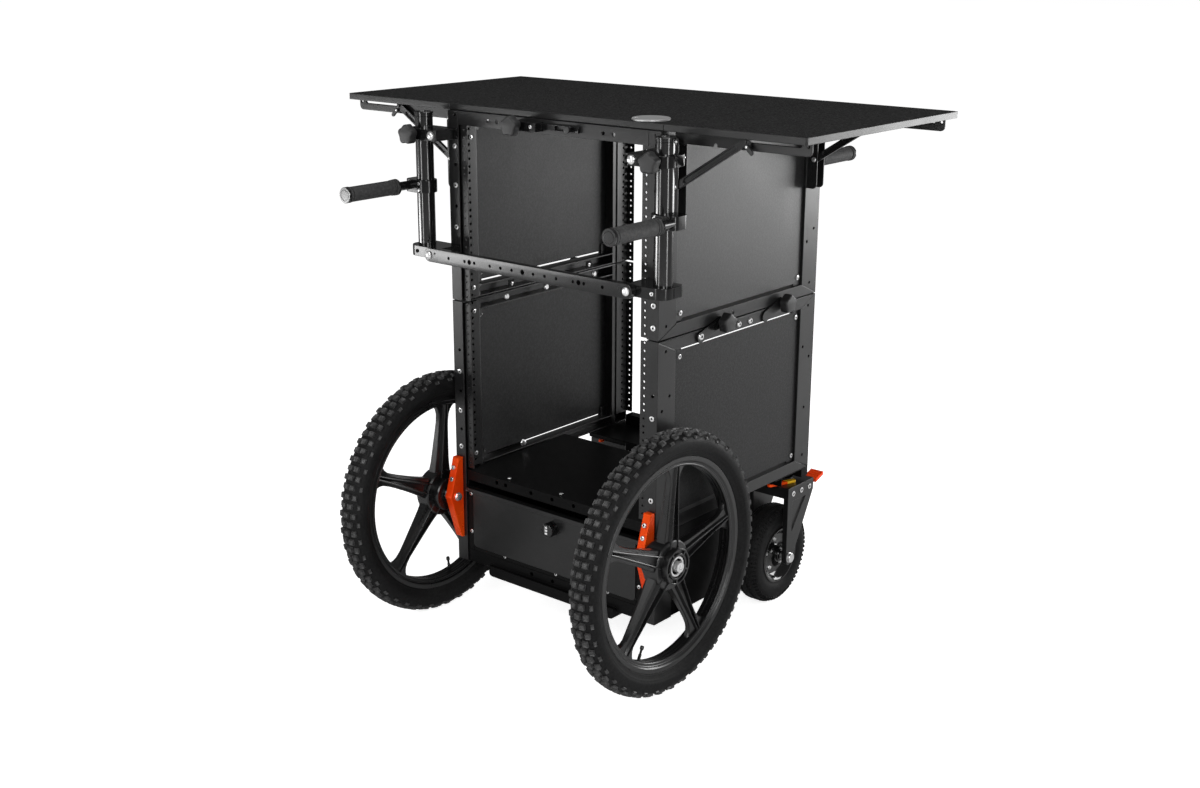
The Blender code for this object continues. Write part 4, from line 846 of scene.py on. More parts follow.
def addStraps(name, side, node):
    for place in ("front", "rear"):
        boltY, knobY, coat = straps[place]
        boltZ, knobZ = straps["z"]
        strap = bmesh.new()
        outline = stadium((boltY, boltZ), (knobY, knobZ), straps["radius"])
        plate(strap, outline, "x", *span(side, *straps["x"]))
        settle(strap, f"{name}_{place}_latch_strap", node, coat, "powder_coat", bevel=0.6, sharp=40)
    sideScrews(f"{name}_latch_bolt", node, side, straps["x"][1], 1, straps["bolt"], 8, 4.4, "button")


def mitreLines(node, side):
    # fine joint lines from the corners of a side frame to the corners of its window
    low, high = boxOf(node)
    bottom, top = frames["lowerEnds"] if node.startswith("lower") else (low.z, high.z)
    rise = frames["windowRise"]
    reach = span(side, frames["outer"] - 0.5, frames["outer"] + 1)
    lines = bmesh.new()
    for y, window in ((low.y, frames["frontEdge"]), (frames["rear"], frames["rearEdge"])):
        for z, edge in ((bottom, bottom + rise), (top, top - rise)):
            along = Vector((window - y, edge - z)).normalized()
            first = Vector((y, z)) + along * 2
            last = Vector((window, edge)) - along * 1.4
            plate(lines, stadium(first, last, 0.8, 3), "x", *reach)
    return lines


def addSideFrame(bay, name, side):
    node = f"{bay}_{name}_frame"
    low = boxOf(node)[0]
    rear = boxOf("upper_left_frame")[1].y
    outer, wall, radii = frames["outer"], frames["wall"], frames["holes"]
    x, screwZ, holeZ = frontPost[f"{bay}_{name}"]
    holes = webHoles(node, rear - frames["rearColumn"])
    holes += [("y", (x, z), radii["front"], low.y - 1, low.y + wall) for z in holeZ]
    through = span(side, outer - wall, outer + 5)
    holes += [("x", place, radii["side"], *through) for place in sidePost[bay]]
    through = span(side, *frames["innerWall"])
    holes += [("x", place, radii["inner"], *through) for place in seam["innerHoles"][bay]]
    if bay == "upper":
        holes.append(("x", seam["slot"], radii["slot"], *span(side, outer - wall, outer + 1)))

    def finishCorner(bm):
        if bay == "lower":
            trimStraps(bm, side)
        roundInnerCorner(bm, side)

    dress(node, "powderCoat", 0.7, holes, changed=finishCorner, grooves=mitreLines(node, side))
    addThreads(node, rear - 2.1, rear + 0.1)
    frontScrews(f"{node}_front_screws", node, low.y, [(x, z) for z in screwZ], 5.3, 2.2, "socket")
    spots = seam["webScrews"][bay]
    sideScrews(f"{node}_web_screws", node, side, frames["webFace"], -1, spots, 4.6, 2.6, "socket")
    rail = f"{bay}_{name}_front_rack_rail"
    dress(rail, "powderCoat", 0.4, webHoles(rail, frames["frontColumn"]))
    addThreads(rail, -0.1, 2.1)
    panel = f"{bay}_{name}_side_panel"
    # the upper right panel gets the more reflective copy, which paints its brighter reflection
    dress(panel, "reflectionLitPanelCoat" if panel == "upper_right_side_panel" else "reflectionShadedPanelCoat", 0.4)
    skin = max(abs(corner.x) for corner in boxOf(panel))
    spots = panelScrews[bay]
    sideScrews(f"{panel}_screws", node, side, skin, 1, spots, 4.8, 2.4, "socket")
    sideScrews(f"{panel}_nuts", node, side, skin - 2.5, -1, spots, 4.4, 3, "hex")


def addSeam(name, side):
    lower, upper = f"lower_{name}_frame", f"upper_{name}_frame"
    outer, inner = frames["outer"], frames["inner"]
    addStraps(name, side, lower)
    sideScrews(f"{name}_seam_outer_bolts", lower, side, outer, 1, seam["outerBolts"], 6.4, 3.6, "button")
    sideScrews(f"{name}_seam_inner_bolts", lower, side, inner, -1, seam["innerBolts"], 7, 5, "disc")
    # dark squares on the inner face where it has square recesses: black plates paint the recesses' shade,
    # with a screw in each
    near, far = seam["recessShadeX"]
    recessShades = bmesh.new()
    for y, z in seam["recessShades"]:
        sideBlock(recessShades, side, (near, y - 9, z - 9), (far, y + 9, z + 9))
    settle(recessShades, f"{name}_seam_recess_shades", upper, "socketBlack", "rubber_grip", bevel=0.5)
    sideScrews(f"{name}_seam_recess_screws", upper, side, near, -1, seam["recessShades"], 3.8, 2, "socket")
    sideScrews(f"{name}_sill_bolt", lower, side, inner, -1, seam["sillBolt"], 6.4, 7, "hex")


for name, side in sides.items():
    addSideFrame("upper", name, side)
    addSideFrame("lower", name, side)
    addSeam(name, side)
print("frames made")

# Push tubes and their clamps
tubes = {
    # a clamp's plan is square at the post and round where it wraps the tube
    "axis": (305, -39), "radius": 18, "collar": 19, "clampHeight": 22, "face": -70, "boltX": 254,
    "sideScrew": (329.4, -15), "footScrewX": 303, "slit": ((315, -39.8), (335, -38.2)),
    "clamp": [(242, -6.3, 2), (330, -6.3, 12), (330, -70, 23), (242, -70, 4)],
}


def clampShape(corners, low, high, fit, over):
    # a plate with the tube's bore in it
    bm = bmesh.new()
    plate(bm, outlineOf(corners, 10), "z", low, high)
    cutter = bmesh.new()
    rod(cutter, "z", tubes["axis"], tubes["radius"] + fit, low - over[0], high + over[1], 48)
    return drill(bm, cutter)


def addClampBlock(name, node, side, low, replaced):
    high = low + tubes["clampHeight"]
    bm = clampShape(tubes["clamp"], low, high, 0.25, (1, 8))
    slit = bmesh.new()
    near, far = tubes["slit"]
    block(slit, (*near, low - 1), (*far, high + 8))
    bm = drill(bm, slit)
    options = {"bevel": 0.9, "segments": 3, "clean": False, "side": side}
    settle(bm, name, node, "blackAnodised", "black_anodised", replaced, **options)


def addTube(name, side):
    node = f"{name}_push_tube"
    low, high = boxOf(node)
    radius, collar = tubes["radius"], tubes["collar"]
    foot = [(0, 1.5), (15, 1.5), (15.6, 0), (17.2, 0), (radius, 0.8)]
    head = [
        (radius, 9.4), (17.3, 9), (17.3, 8.4), (radius, 8), (radius, 4.2), (18.3, 4), (collar, 3.6),
        (collar, 0.8), (18.2, 0), (14.5, 0), (14, 0.6), (14, 1.2), (0, 1.2),
    ]
    profile = stepsFrom(low.z + 2, 1, foot) + stepsFrom(high.z, -1, head)
    centre = (side * tubes["axis"][0], tubes["axis"][1])
    barrel = f"{name}_push_tube_barrel"
    spunPiece(barrel, node, "tubeAnodised", "black_anodised", profile, "z", centre, 96, replaced=[node])
    addClampBlock(f"{name}_tube_foot_bracket", node, side, low.z, ())
    clamp = f"{name}_tube_clamp"
    clampLow, clampHigh = boxOf(clamp)
    addClampBlock(f"{clamp}_body", clamp, side, clampLow.z, [clamp])
    middle = (clampLow.z + clampHigh.z) / 2
    face = tubes["face"]
    frontScrews(f"{clamp}_bolt", clamp, face, [(tubes["boltX"], middle)], 8.6, 5, "disc", side=side)
    x, y = tubes["sideScrew"]
    sideScrews(f"{clamp}_side_screw", clamp, side, x, 1, [(y, middle + 5)], 2.2, 1.2, "socket")
    # the left foot screw is flat black, painted shade, where the right one is bare zinc
    coat = "zincSteel" if side > 0 else "socketBlack"
    spots = [(tubes["footScrewX"], low.z + tubes["clampHeight"] / 2)]
    frontScrews(f"{name}_tube_foot_screw", node, face, spots, 3.8, 1.6, "socket", coat, side=side)


for name, side in sides.items():
    addTube(name, side)
print("push tubes made")

# Star knobs
knobs = {
    "radius": 20, "lobeDepth": 1.7, "lobes": 5, "head": 18, "neck": 6, "neckRadius": 9,
    "crownEdge": 3.4, "lobeEdge": 0.9, "seamZ": 693.5, "slideSpot": (-62, 1067.5),
}


def addKnob(node, axis, centre, seat, direction, side):
    # made for the right side, along the axis in the given direction from its seat
    bm = bmesh.new()
    outline = []
    for index in range(90):
        angle = 2 * math.pi * index / 90
        reach = knobs["radius"] - knobs["lobeDepth"] * (1 - math.cos(knobs["lobes"] * angle))
        outline.append((centre[0] + reach * math.sin(angle), centre[1] + reach * math.cos(angle)))
    neck, reach = knobs["neck"], knobs["neckRadius"]
    foot = seat + direction * neck
    outer = plate(bm, outline, axis, foot, foot + direction * knobs["head"])
    roundEdges(bm, outer.edges[:], knobs["crownEdge"], 5)
    edges = [edge for edge in bm.edges if edge.is_manifold and edge.calc_face_angle(0) > 1.2]
    roundEdges(bm, edges, knobs["lobeEdge"], 2)
    profile = [
        (0, 0), (reach - 0.6, 0), (reach, 0.6), (reach, 3.6), (reach - 1, 4.2), (reach - 1, neck + 2),
        (0, neck + 2),
    ]
    turned(bm, stepsFrom(seat, direction, profile), axis, centre, 48)
    settle(bm, f"{node}_star", node, "knobPlastic", "knob_plastic", [node], sharp=40, side=side)


def addKnobs():
    low, high = boxOf("right_tube_clamp")
    for name, side in sides.items():
        addKnob(f"{name}_clamp_knob", "y", (tubes["axis"][0], (low.z + high.z) / 2), -70.3, -1, side)
        for place in ("front", "rear"):
            node = f"{name}_{place}_seam_knob"
            knobLow, knobHigh = boxOf(node)
            middle = (knobLow + knobHigh) / 2
            seat = min(abs(knobLow.x), abs(knobHigh.x))
            addKnob(node, "x", (middle.y, knobs["seamZ"]), seat, 1, side)
    node = "accessory_slide_knob"
    addKnob(node, "y", knobs["slideSpot"], boxOf(node)[1].y, -1, 1)


addKnobs()
print("knobs made")

# Handles: a stem, a ringed rubber sleeve and a cap
handles = {
    # radius and distance from the sleeve's start in collar, and from its end in tail and cap
    "collar": [
        (0, 0.5), (15.6, 0.5), (16.3, 1.2), (16.3, 4), (15.6, 4.7), (13.4, 5), (13.4, 7), (15.2, 7.3),
        (15.9, 7.9), (15.9, 10.2), (13.6, 10.8), (13.6, 12.2), (15, 12.8),
    ],
    "tail": [
        (15, 14), (13.6, 13.4), (13.6, 11.4), (15.4, 11), (15.9, 10.4), (15.9, 6.6), (13.6, 6.2), (0, 4.4),
    ],
    "cap": [
        (0, 4.4), (14.4, 4.4), (15.9, 3.6), (15.9, 0.9), (15.2, 0), (11.4, 0), (11, 0.7), (10.4, 0.7),
        (10, 0.1), (0, 0.1),
    ],
    "stem": [
        (0, -24), (8.2, -24), (9, -25), (9, -84), (9.6, -88), (13.4, -92.4), (15.6, -93.2), (16.5, -94),
        (16.5, -96.4), (16, -97.2), (0, -97.2),
    ],
    "seat": [(0, 0), (16.4, 0), (17, 0.6), (17, 3.2), (16.2, 4), (0, 4)],
    "block": [(282, -16, 22.5), (344.7, -16, 14), (344.7, -62, 14), (282, -62, 22.5)],
    "frontX": 333.7, "rearX": 255, "z": 928.5,
    "blockHalf": 13, "blockFace": -62, "screwX": 300.5, "screwRise": 6.5,
}


def addGrip(name, node, centre, start, end, side):
    # a sleeve along y from its collar at start to its cap at end
    way = 1 if end > start else -1
    profile = stepsFrom(start, way, handles["collar"]) + stepsFrom(end, -way, handles["tail"])
    spunPiece(f"{name}_sleeve", node, "gripRubber", "rubber_grip", profile, "y", centre, side=side)
    profile = stepsFrom(end, -way, handles["cap"])
    spunPiece(f"{name}_cap", node, "tubeAnodised", "black_anodised", profile, "y", centre, side=side)


def addHandles(name, side):
    black = ("blackAnodised", "black_anodised")
    node = f"{name}_front_handle"
    z, half = handles["z"], handles["blockHalf"]
    centre = (handles["frontX"], z)
    spunPiece(f"{node}_stem", node, *black, handles["stem"], "y", centre, replaced=[node], side=side)
    addGrip(node, node, centre, handles["stem"][-1][1], boxOf(node)[0].y, side)
    bm = clampShape(handles["block"], z - half, z + half, 0.3, (7, 7))
    settle(bm, f"{node}_block", node, *black, bevel=1, segments=3, clean=False, side=side)
    spots = [(handles["screwX"], z + way * handles["screwRise"]) for way in (1, -1)]
    frontScrews(f"{node}_screws", node, handles["blockFace"], spots, 3.2, 2, "socket", side=side)
    node = f"{name}_rear_handle"
    low, high = boxOf(node)
    centre = (handles["rearX"], (low.z + high.z) / 2)
    profile = stepsFrom(low.y, 1, handles["seat"])
    spunPiece(f"{node}_seat", node, *black, profile, "y", centre, replaced=[node], side=side)
    addGrip(node, node, centre, low.y + 3.8, high.y, side)


for name, side in sides.items():
    addHandles(name, side)
print("handles made")

# Accessory bar, its bolts, and the sliding arm under the table edge
bar = {
    # x of the holes, of the bolt holes, of the bolts on the brackets and of the set screws
    "holes": (28, 57.2, 86, 128, 154.5, 199), "bolts": (0, 141.5), "seatX": 254.7, "setX": 238.5,
    "z": 798.5,
}
slide = {"z": 1067.5, "screwX": -24, "stopX": 60, "stopY": -20.3}
beam = {"holes": (135, 160), "z": 1066, "y": (-7, 20), "radius": 3.9}


def bothWays(row):
    return sorted({way * x for x in row for way in (1, -1)})


def addBar():
    node = "accessory_bar"
    low, high = boxOf(node)
    radius = (high.z - low.z) / 2
    half = high.x - radius
    bm = bmesh.new()
    plate(bm, stadium((-half, bar["z"]), (half, bar["z"]), radius, 16), "y", low.y, high.y)
    cutter = bmesh.new()
    for row, reach in ((bar["holes"], 3.3), (bar["bolts"], 5)):
        for x in bothWays(row):
            rod(cutter, "y", (x, bar["z"]), reach, low.y - 1, high.y + 1, 28)
    bm = drill(bm, cutter)
    settle(bm, "accessory_bar_coated", node, "satinCoat", "powder_coat", [node], bevel=0.9, clean=False)
    spots = [(x, bar["z"]) for x in bothWays([bar["seatX"]])]
    frontScrews("accessory_bar_bolts", node, low.y, spots, 8, 3.4, "disc")
    spots = [(x, bar["z"] + 4.5) for x in bothWays([bar["setX"]])]
    frontScrews("accessory_bar_set_screws", node, low.y, spots, 2.4, 0.8, "socket", "powderCoat")


def addSlide():
    node = "accessory_slide"
    dress(node, "blackAnodised", 0.8, segments=3)
    spots = [(slide["screwX"], slide["z"])]
    frontScrews("accessory_slide_screws", node, boxOf(node)[0].y, spots, 3.4, 2, "socket")
    node = "top_front_beam"
    spots = [(way * x, beam["z"]) for way in (-1, 1) for x in beam["holes"]]
    holes = [("y", place, beam["radius"], *beam["y"]) for place in spots]
    dress(node, "powderCoat", 0.6, holes)
    spots = [(slide["stopX"], slide["z"])]
    frontScrews("accessory_slide_stop", node, slide["stopY"], spots, 6.6, 2, "disc")


addBar()
addSlide()
print("bar and slide made")

# Leaf brackets
brackets = {
    # x and z of the pins, and y of the faces that they go through
    "pins": [(286, 1060.5), (286, 979.5)], "lever": [(441.5, 1065.5)],
    "front": (14, 42), "rear": (485, 513),
}


def addBracket(name, side, place):
    post = f"upper_{name}_frame"
    near, far = brackets[place]
    lever = f"{name}_{place}_release_lever"
    dress(f"{name}_{place}_leaf_strut", "powderCoat", 0.6)
    dress(lever, "knobPlastic", 0.8, segments=3)
    pins = brackets["pins"]
    frontScrews(f"{name}_{place}_bracket_pins", post, near, pins, 5.2, 2.6, "disc", side=side)
    back = [(x, far, z) for x, z in pins]
    screws(f"{name}_{place}_bracket_nuts", post, back, (0, 1, 0), 4.6, 2.8, "hex", side=side)
    face = boxOf(lever)[0].y
    frontScrews(f"{lever}_pin", lever, face, brackets["lever"], 2.6, 1.2, "disc", side=side)


for name, side in sides.items():
    addBracket(name, side, "front")
    addBracket(name, side, "rear")
print("leaf brackets made")

# Base, drawer and rear chassis
baseParts = {
    "deckHoles": (0, 58, 129.6, 155), "deckZ": 312, "lowHoles": (0, 58), "lowZ": 131,
    "front": -3, "screwX": (-133, 11, 150), "screwY": 13,
}
drawer = {
    # y of the face, z of the foot and head of the black strips that paint the shade round the drawer front, x
    # of its side strips, and the screws
    "face": -4.5, "shadeStrips": (143, 277), "strips": (222, 236.6), "bandHalf": 224, "bandRise": 11.5,
    "screwX": 229.5, "screwZ": (270.5, 184.5), "bandZ": 150.5,
    "markRises": (-6.4, 0, 6.4),
}
chassisCuts = [((236, 436.5, 270), (275, 514, 299)), ((140, 400, 270), (275, 436, 298))]


def addLock():
    node = "drawer_lock_knob"
    low, high = boxOf(node)
    centre = ((low.x + high.x) / 2, (low.z + high.z) / 2)
    radius = (high.x - low.x) / 2
    rear = [(0, 0), (radius - 0.5, 0), (radius, 0.6), (radius, 2.4), (radius - 1, 3)]
    front = [
        (radius - 1, 1.8), (radius - 1.6, 0.6), (radius - 2.8, 0), (radius - 4, 0), (radius - 4.3, 0.8),
        (0, 0.8),
    ]
    profile = stepsFrom(high.y, -1, rear) + stepsFrom(low.y, 1, front)
    barrel = "drawer_lock_barrel"
    spunPiece(barrel, node, "blackAnodised", "knob_plastic", profile, "y", centre, replaced=[node])
    marks = bmesh.new()
    for rise in drawer["markRises"]:
        bottom, top = centre[1] + rise - 2.2, centre[1] + rise + 2.2
        block(marks, (centre[0] - 5, low.y + 0.3, bottom), (centre[0] + 1.6, low.y + 0.9, top))
    settle(marks, "drawer_lock_marks", node, "whiteMark", "cap_metal", bevel=0.3)


def addBase():
    node = "base_housing"
    front = baseParts["front"]
    holes = []
    for row in ("deck", "low"):
        spots = [(x, baseParts[f"{row}Z"]) for x in bothWays(baseParts[f"{row}Holes"])]
        holes += [("y", place, 4.4, front - 1, front + 3.6) for place in spots]
    dress(node, "shadedBaseCoat", 0.9, holes, segments=3)
    places = [(x, baseParts["screwY"], boxOf(node)[1].z) for x in baseParts["screwX"]]
    screws("deck_screws", node, places, (0, 0, 1), 4.2, 2, "button")


def addDrawer():
    node = "drawer"
    dress(node, "powderCoat", 0.8, segments=3)
    face = drawer["face"]
    foot, head = drawer["shadeStrips"]
    # black strips just in front of the housing paint the shade of the gap round the drawer front
    shadeStrips = bmesh.new()
    for side in (-1, 1):
        near, far = drawer["strips"]
        sideBlock(shadeStrips, side, (near, face, foot), (far, face + 1, head))
    half = drawer["bandHalf"]
    block(shadeStrips, (-half, face, foot), (half, face + 1, foot + drawer["bandRise"]))
    settle(shadeStrips, "drawer_painted_shade_strips", node, "socketBlack", "powder_coat", bevel=0.2)
    spots = [(x, z) for x in bothWays([drawer["screwX"]]) for z in drawer["screwZ"]]
    frontScrews("drawer_face_screws", node, face, spots, 4.2, 1.6, "button")
    spots = [(x, drawer["bandZ"]) for x in baseParts["screwX"]]
    frontScrews("drawer_band_screws", node, face, spots, 3.8, 1.6, "button")


def addChassis():
    # open at both ends of its front wall
    node = "rear_chassis"
    cutter = bmesh.new()
    for side in (-1, 1):
        for low, high in chassisCuts:
            sideBlock(cutter, side, low, high)
    bm = drill(copyNode(node), cutter)
    settle(bm, f"{node}_coated", node, "shadedBaseCoat", "powder_coat", [node], bevel=0.9, clean=False)


addLock()
addBase()
addDrawer()
addChassis()
print("base made")

# Front wheels
wheel = {
    "centre": (309.7, -24, 264), "hub": 36, "hubFaces": (-33.7, 30.3), "bore": 8.4, "spokes": 5, "lean": 6,
    "pitches": 42, "valveTurns": {1: 155, -1: 187.9},
    "ridges": [
        # radius and distance from the middle plane
        (195.5, 0), (195.5, 3), (193.6, 3.6), (193.6, 5.6), (195.5, 6.2), (195.5, 9.2), (194, 9.8),
        (194, 12), (195.4, 13.6), (197.4, 14.2), (198.2, 13.8), (199.4, 13.8), (200.4, 14.8), (202, 15.2),
        (203.4, 17.2), (205, 18.4), (211.6, 19), (213.4, 18.8), (214, 18), (214, 16.6), (200, 10.5),
    ],
    "tyre": [
        (200.5, 10), (208, 14.8), (213.6, 17.4), (215.2, 19.6), (217, 20.6), (219, 21.2), (221, 23),
        (222.4, 23.4), (223.4, 24.6), (226, 26.2), (228.2, 26.8), (229.2, 27.9), (233, 28.7), (239, 28.8),
        (245, 27.6), (250, 25.2), (254, 21), (256.6, 15), (257.8, 8), (258, 0),
    ],
    "valve": [
        (0, 164), (3.2, 164), (4, 165.4), (4, 170.6), (3.2, 172), (2.4, 172.6), (2.4, 180), (3.2, 180.6),
        (3.2, 196), (0, 196),
    ],
    "tread": [
        # x, share of a pitch, radius, tilt and size of each block
        (0, 0, 259.6, 0, (12.6, 12.8, 8)), (16.6, 0, 256.6, 20, (11, 12.8, 8)),
        (-16.6, 0, 256.6, -20, (11, 12.8, 8)), (8.4, 0.5, 259, 7, (12.4, 12.8, 8)),
        (-8.4, 0.5, 259, -7, (12.4, 12.8, 8)), (24.4, 0.5, 250.6, 50, (7, 11, 5)),
        (-24.4, 0.5, 250.6, -50, (7, 11, 5)),
    ],
}
spokeStations = [
    # distance from the axle, half width, rib offset, rib height and web height from the middle plane
    (26, 25, 11, 19.5, 13), (38, 23.5, 11, 19, 12.5), (60, 20, 9.6, 18, 11), (85, 17.4, 8.2, 16.6, 9.6),
    (110, 15.5, 7, 15.2, 8.6), (135, 14, 5.6, 14, 7.8), (155, 13.6, 4.6, 13.2, 7.4),
    (170, 14.6, 4, 12.8, 7.2),
    (180, 18, 3.8, 12.4, 7.2), (187, 23, 3.6, 12.2, 7.4), (192, 29, 3.5, 12, 7.6), (197, 36, 3.4, 11.8, 7.8),
]


def spokeRing(reach, width, rib, crest, web):
    # section across a spoke: a web with two ribs on each face
    face = [
        (-width, web - 3.2), (-width + 0.9, web - 1.4), (-rib - 3.4, web), (-rib - 1.1, crest - 0.6),
        (-rib, crest), (-rib + 1.1, crest - 0.6), (-rib + 2.6, web - 1.6), (0, web - 2.6),
    ]
    half = face + [(-across, height) for across, height in reversed(face[:-1])]
    return [(height, across, reach) for across, height in doubled(half)]


def spokeTurn(index):
    turn = 2 * math.pi * index / wheel["spokes"] - math.radians(wheel["lean"])
    return Matrix.Rotation(turn, 4, "X")


def addRim(name, side):
    node = f"{name}_front_rim"
    hub, bore = wheel["hub"], wheel["bore"]
    inner, outer = wheel["hubFaces"]
    face = [
        (hub, 1), (hub - 1, 0), (33.2, 0), (32.4, 0.8), (32.4, 4.4), (26.6, 4.4), (26, 0.8), (25.2, 0),
        (22.6, 0), (21.8, 0.8), (21.8, 7), (bore, 7),
    ]
    boss = [(bore, -18), (47, -18), (50, -16), (50, 14), (49, 15.4), (46.5, 16.6), (bore, 17.2)]
    bm = bmesh.new()
    turned(bm, doubled(wheel["ridges"]), "x", (0, 0), 128)
    back = [(bore, inner), (hub - 2, inner), (hub, inner + 2)]
    turned(bm, back + stepsFrom(outer, -1, face), "x", (0, 0), 96)
    for index in range(wheel["spokes"]):
        shape = bmesh.new()
        loft(shape, [spokeRing(*station) for station in spokeStations])
        bmesh.ops.recalc_face_normals(shape, faces=shape.faces)
        merge(bm, shape, spokeTurn(index))
    turned(bm, boss, "x", (0, 0), wheel["spokes"] * 6)
    for index in range(wheel["spokes"]):
        # bridges across the ring groove of the hub face
        shape = bmesh.new()
        block(shape, (outer - 5, -1.6, 25.4), (outer - 0.4, 1.6, 33.4))
        merge(bm, shape, spokeTurn(index + 0.5))
    options = {"side": side, "place": wheel["centre"]}
    settle(bm, f"{node}_spoked", node, "wheelNylon", "wheel_nylon", [node], sharp=16, **options)
    stem = bmesh.new()
    shape = bmesh.new()
    turned(shape, wheel["valve"], "z", (0, 0), 20)
    turn = Matrix.Rotation(math.radians(wheel["valveTurns"][side]), 4, "X")
    merge(stem, shape, Matrix.Translation(wheel["centre"]) @ turn)
    settle(stem, f"{name}_valve_stem", node, "blackAnodised", "wheel_nylon", side=side)


def treadBlock(x, turn, reach, tilt, size):
    # a tapered block with a dimple, standing on the carcass
    shape = bmesh.new()
    bmesh.ops.create_cube(shape, size=1)
    top = max(shape.faces, key=lambda face: face.calc_center_median().z)
    bmesh.ops.scale(shape, verts=top.verts, vec=(0.86, 0.84, 1))
    bmesh.ops.inset_region(shape, faces=[top], thickness=0.2)
    bmesh.ops.translate(shape, verts=top.verts, vec=(0, 0, -0.25))
    place = Matrix.Rotation(math.radians(turn), 4, "X") @ Matrix.Translation((x, 0, reach))
    return shape, place @ Matrix.Rotation(math.radians(tilt), 4, "Y") @ Matrix.Diagonal((*size, 1))


def addTread(name, node, coat, slot, blocks, pitches, **options):
    # the blocks of one pitch, repeated round the tyre
    pitch = 360 / pitches
    tread = bmesh.new()
    for x, share, *rest in blocks:
        merge(tread, *treadBlock(x, share * pitch, *rest))
    bmesh.ops.spin(
        tread, geom=tread.verts[:] + tread.edges[:] + tread.faces[:], cent=(0, 0, 0), axis=(1, 0, 0),
        angle=math.radians(360 - pitch), steps=pitches - 1, use_duplicate=True,
    )
    settle(tread, name, node, coat, slot, sharp=30, **options)


def addTyre(name, side):
    node = f"{name}_front_tyre"
    options = {"side": side, "place": wheel["centre"]}
    profile = doubled(wheel["tyre"])
    spunPiece(
        f"{node}_carcass", node, "shadedTyreRubber", "tyre_rubber", profile, "x", (0, 0), 160,
        replaced=[node], sharp=50, **options,
    )
    blocks = wheel["tread"]
    addTread(f"{node}_tread", node, "treadRubber", "tyre_rubber", blocks, wheel["pitches"], **options)


axleBracket = {
    # outline in y and z, x of the faces, and z and y of the tilted screw wells
    "corners": [(-6.3, 168.5, 2), (-6.3, 350, 2), (-18.3, 350, 5), (-44, 265.5, 10), (-14.3, 168.5, 4)],
    "x": (250, 268), "wells": ((328, -25), (303, -30)), "tilt": -14,
    "axle": [
        (0, 267), (16, 267), (16, 272.4), (15.2, 273), (13.4, 273), (13.4, 275.8), (8, 275.8), (8, 331.5),
        (20.6, 331.5), (20.6, 336.6), (19.8, 337.6), (16.4, 337.6), (15.8, 336.8), (15.8, 333), (11, 333),
        (11, 344.6), (10.2, 345.8), (4.6, 345.8), (4.2, 343.8), (0, 343.8),
    ],
}


def addAxle(name, side):
    node = f"{name}_axle_bracket"
    near, far = axleBracket["x"]
    bm = bmesh.new()
    plate(bm, outlineOf(axleBracket["corners"], 8), "x", near, far)
    wells = bmesh.new()
    places = []
    tilt = Matrix.Rotation(math.radians(axleBracket["tilt"]), 4, "X")
    for z, y in axleBracket["wells"]:
        shape = bmesh.new()
        rod(shape, "y", (0, 0), 5.2, -30, 2, 28)
        place = Matrix.Translation(((near + far) / 2, y, z)) @ tilt
        merge(wells, shape, place)
        places.append(place @ Vector((0, 0.5, 0)))
    bm = drill(bm, wells)
    options = {"bevel": 1.2, "segments": 3, "clean": False, "side": side}
    settle(bm, f"{node}_plate", node, "orangeAnodised", "orange_anodised", [node], **options)
    aim = tilt @ Vector((0, -1, 0))
    screws(f"{node}_screws", node, places, (0, aim.y, aim.z), 4.7, 4.6, "socket", side=side)
    centre = wheel["centre"][1:]
    spunPiece(f"{node}_axle", node, "zincSteel", "cap_metal", axleBracket["axle"], "x", centre, side=side)
    sideScrews(f"{node}_axle_nut", node, side, near, -1, [centre], 8.4, 6, "hex")


for name, side in sides.items():
    addRim(name, side)
    addTyre(name, side)
    addAxle(name, side)
print("front wheels made")

# Casters
caster = {
    "centre": (227.5, 465, 110), "boltY": (470, 502, 534), "boltZ": 257.5,
    "forkX": {"outer": (278.5, 1), "inner": (176.5, -1)}, "rimBolts": 5, "rimBoltX": 11.8, "rimBoltReach": 34,
    "tyre": [
        # radius and distance from the middle plane
        (55, 18), (59, 23.5), (63, 26.2), (66, 26.6), (67, 27.8), (72, 28.6), (73, 29.3),
        (80, 29.8), (87, 29.8), (92.5, 28.8), (94, 27.4), (98.5, 26.2), (103, 22), (105.4, 18),
        (105.6, 15.6), (107.4, 15), (108.6, 9.6), (107.2, 9), (107.2, 7.4), (109, 6.8), (109.4, 0),
    ],
    "rim": [
        (6.3, 30), (13, 30), (14, 29), (14, 25), (17, 24), (18.4, 16), (22, 12.6),
        (42, 11.6), (47, 13.6), (51, 19.6), (54, 24.6), (57.6, 27.4), (61, 28.2), (62.6, 27.2),
        (62, 25.2), (56, 20), (53, 10),
    ],
    "pitches": 60,
    "tread": [
        (25, 0, 100.2, 52, (11, 4.6, 4)), (-25, 0, 100.2, -52, (11, 4.6, 4)),
        (12.2, 0.5, 107.2, 8, (5.6, 6.6, 4)), (-12.2, 0.5, 107.2, -8, (5.6, 6.6, 4)),
    ],
    "axleHead": [(0, -0.4), (11.6, -0.4), (11.6, 1.4), (10.4, 2), (10.4, 5.4), (9.4, 6.4), (0, 6.4)],
    "spacer": [(6.2, -12), (11, -12), (11, -17), (9, -19.8), (6.2, -19.8)],
}
pedal = {"low": (567.5, 263.5), "high": (598, 273.5), "middle": 31.5, "half": 14.6, "ribs": 4}
lockSplit = 478  # y where the orange blade ends and the yellow tip begins


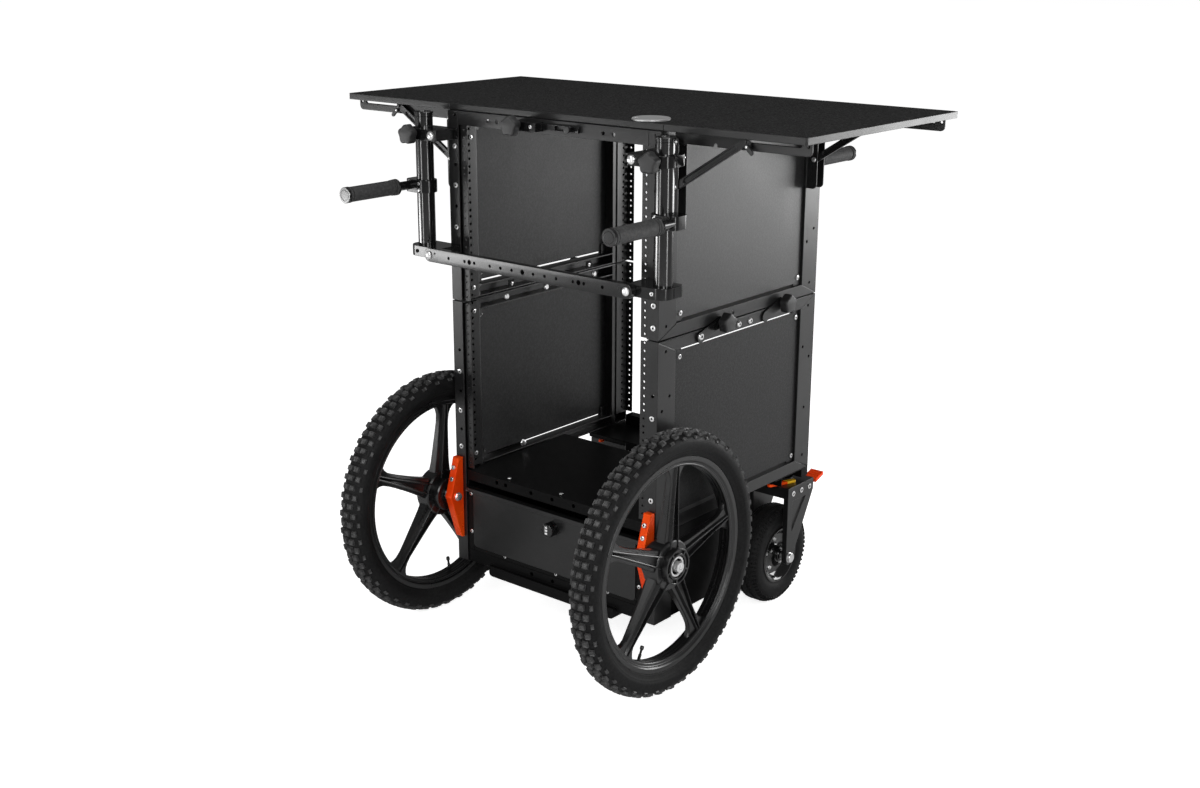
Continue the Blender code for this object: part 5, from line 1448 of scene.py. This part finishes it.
def addCasterWheel(name, side):
    node = f"{name}_caster_wheel"
    place = {"side": side, "place": caster["centre"]}
    profile = doubled(caster["tyre"])
    spunPiece(
        f"{name}_caster_tyre", node, "shadedTyreRubber", "caster_rubber", profile, "x", (0, 0), 96,
        replaced=[node], sharp=44, **place,
    )
    blocks = caster["tread"]
    addTread(f"{name}_caster_lugs", node, "shadedTyreRubber", "caster_rubber", blocks, caster["pitches"], **place)
    profile = doubled(caster["rim"])
    spunPiece(
        f"{name}_caster_rim", node, "glossyRim", "wheel_nylon", profile, "x", (0, 0), 96, sharp=40, **place,
    )
    centre = Vector(caster["centre"])
    count, reach = caster["rimBolts"], caster["rimBoltReach"]
    turns = [2 * math.pi * (index + 0.3) / count for index in range(count)]
    for label, way in (("outer", 1), ("inner", -1)):
        x = way * caster["rimBoltX"]
        places = [centre + Vector((x, reach * math.cos(turn), reach * math.sin(turn))) for turn in turns]
        screws(f"{name}_caster_{label}_rim_bolts", node, places, (way, 0, 0), 3.6, 4, "hex", side=side)


def addFork(name, side):
    node = f"{name}_caster_fork"
    dress(node, "powderCoat", 0.9, segments=3)
    spots = [(y, caster["boltZ"]) for y in caster["boltY"]]
    for label, (x, way) in caster["forkX"].items():
        sideScrews(f"{name}_fork_{label}_bolts", node, side, x, way, spots, 6, 2.4, "socket")
        for part, key in (("axle_head", "axleHead"), ("spacer", "spacer")):
            profile = stepsFrom(x, way, caster[key])
            piece = f"{name}_caster_{label}_{part}"
            centre = caster["centre"][1:]
            spunPiece(piece, node, "zincSteel", "cap_metal", profile, "x", centre, 40, side=side)


def addPedal(name, side):
    middle = caster["centre"][0] + pedal["middle"]

    def ribs(bm):
        shape = bmesh.new()
        for step in range(pedal["ribs"]):
            share = (step + 0.6) / 4.2
            y, z = (low + (high - low) * share for low, high in zip(pedal["low"], pedal["high"]))
            rod(shape, "x", (y, z - 0.2), 1.5, middle - pedal["half"], middle + pedal["half"], 16)
        mirrorShape(shape, side)
        bmesh.ops.recalc_face_normals(shape, faces=shape.faces)
        merge(bm, shape)

    dress(f"{name}_brake_pedal", "orangeAnodised", 0.8, segments=3, changed=ribs)


def addSwivelLock(name):
    node = f"{name}_swivel_lock"
    parts = (("blade", "orangeAnodised", 1, [node]), ("tip", "yellowAnodised", -1, ()))
    for label, coat, way, replaced in parts:
        bm = copyNode(node)
        edges = cutAt(bm, (0, lockSplit, 0), (0, way, 0))
        bmesh.ops.contextual_create(bm, geom=edges)
        settle(bm, f"{node}_{label}", node, coat, "orange_anodised", replaced, bevel=0.7)


for name, side in sides.items():
    addCasterWheel(name, side)
    addFork(name, side)
    addPedal(name, side)
    addSwivelLock(name)
print("casters made")
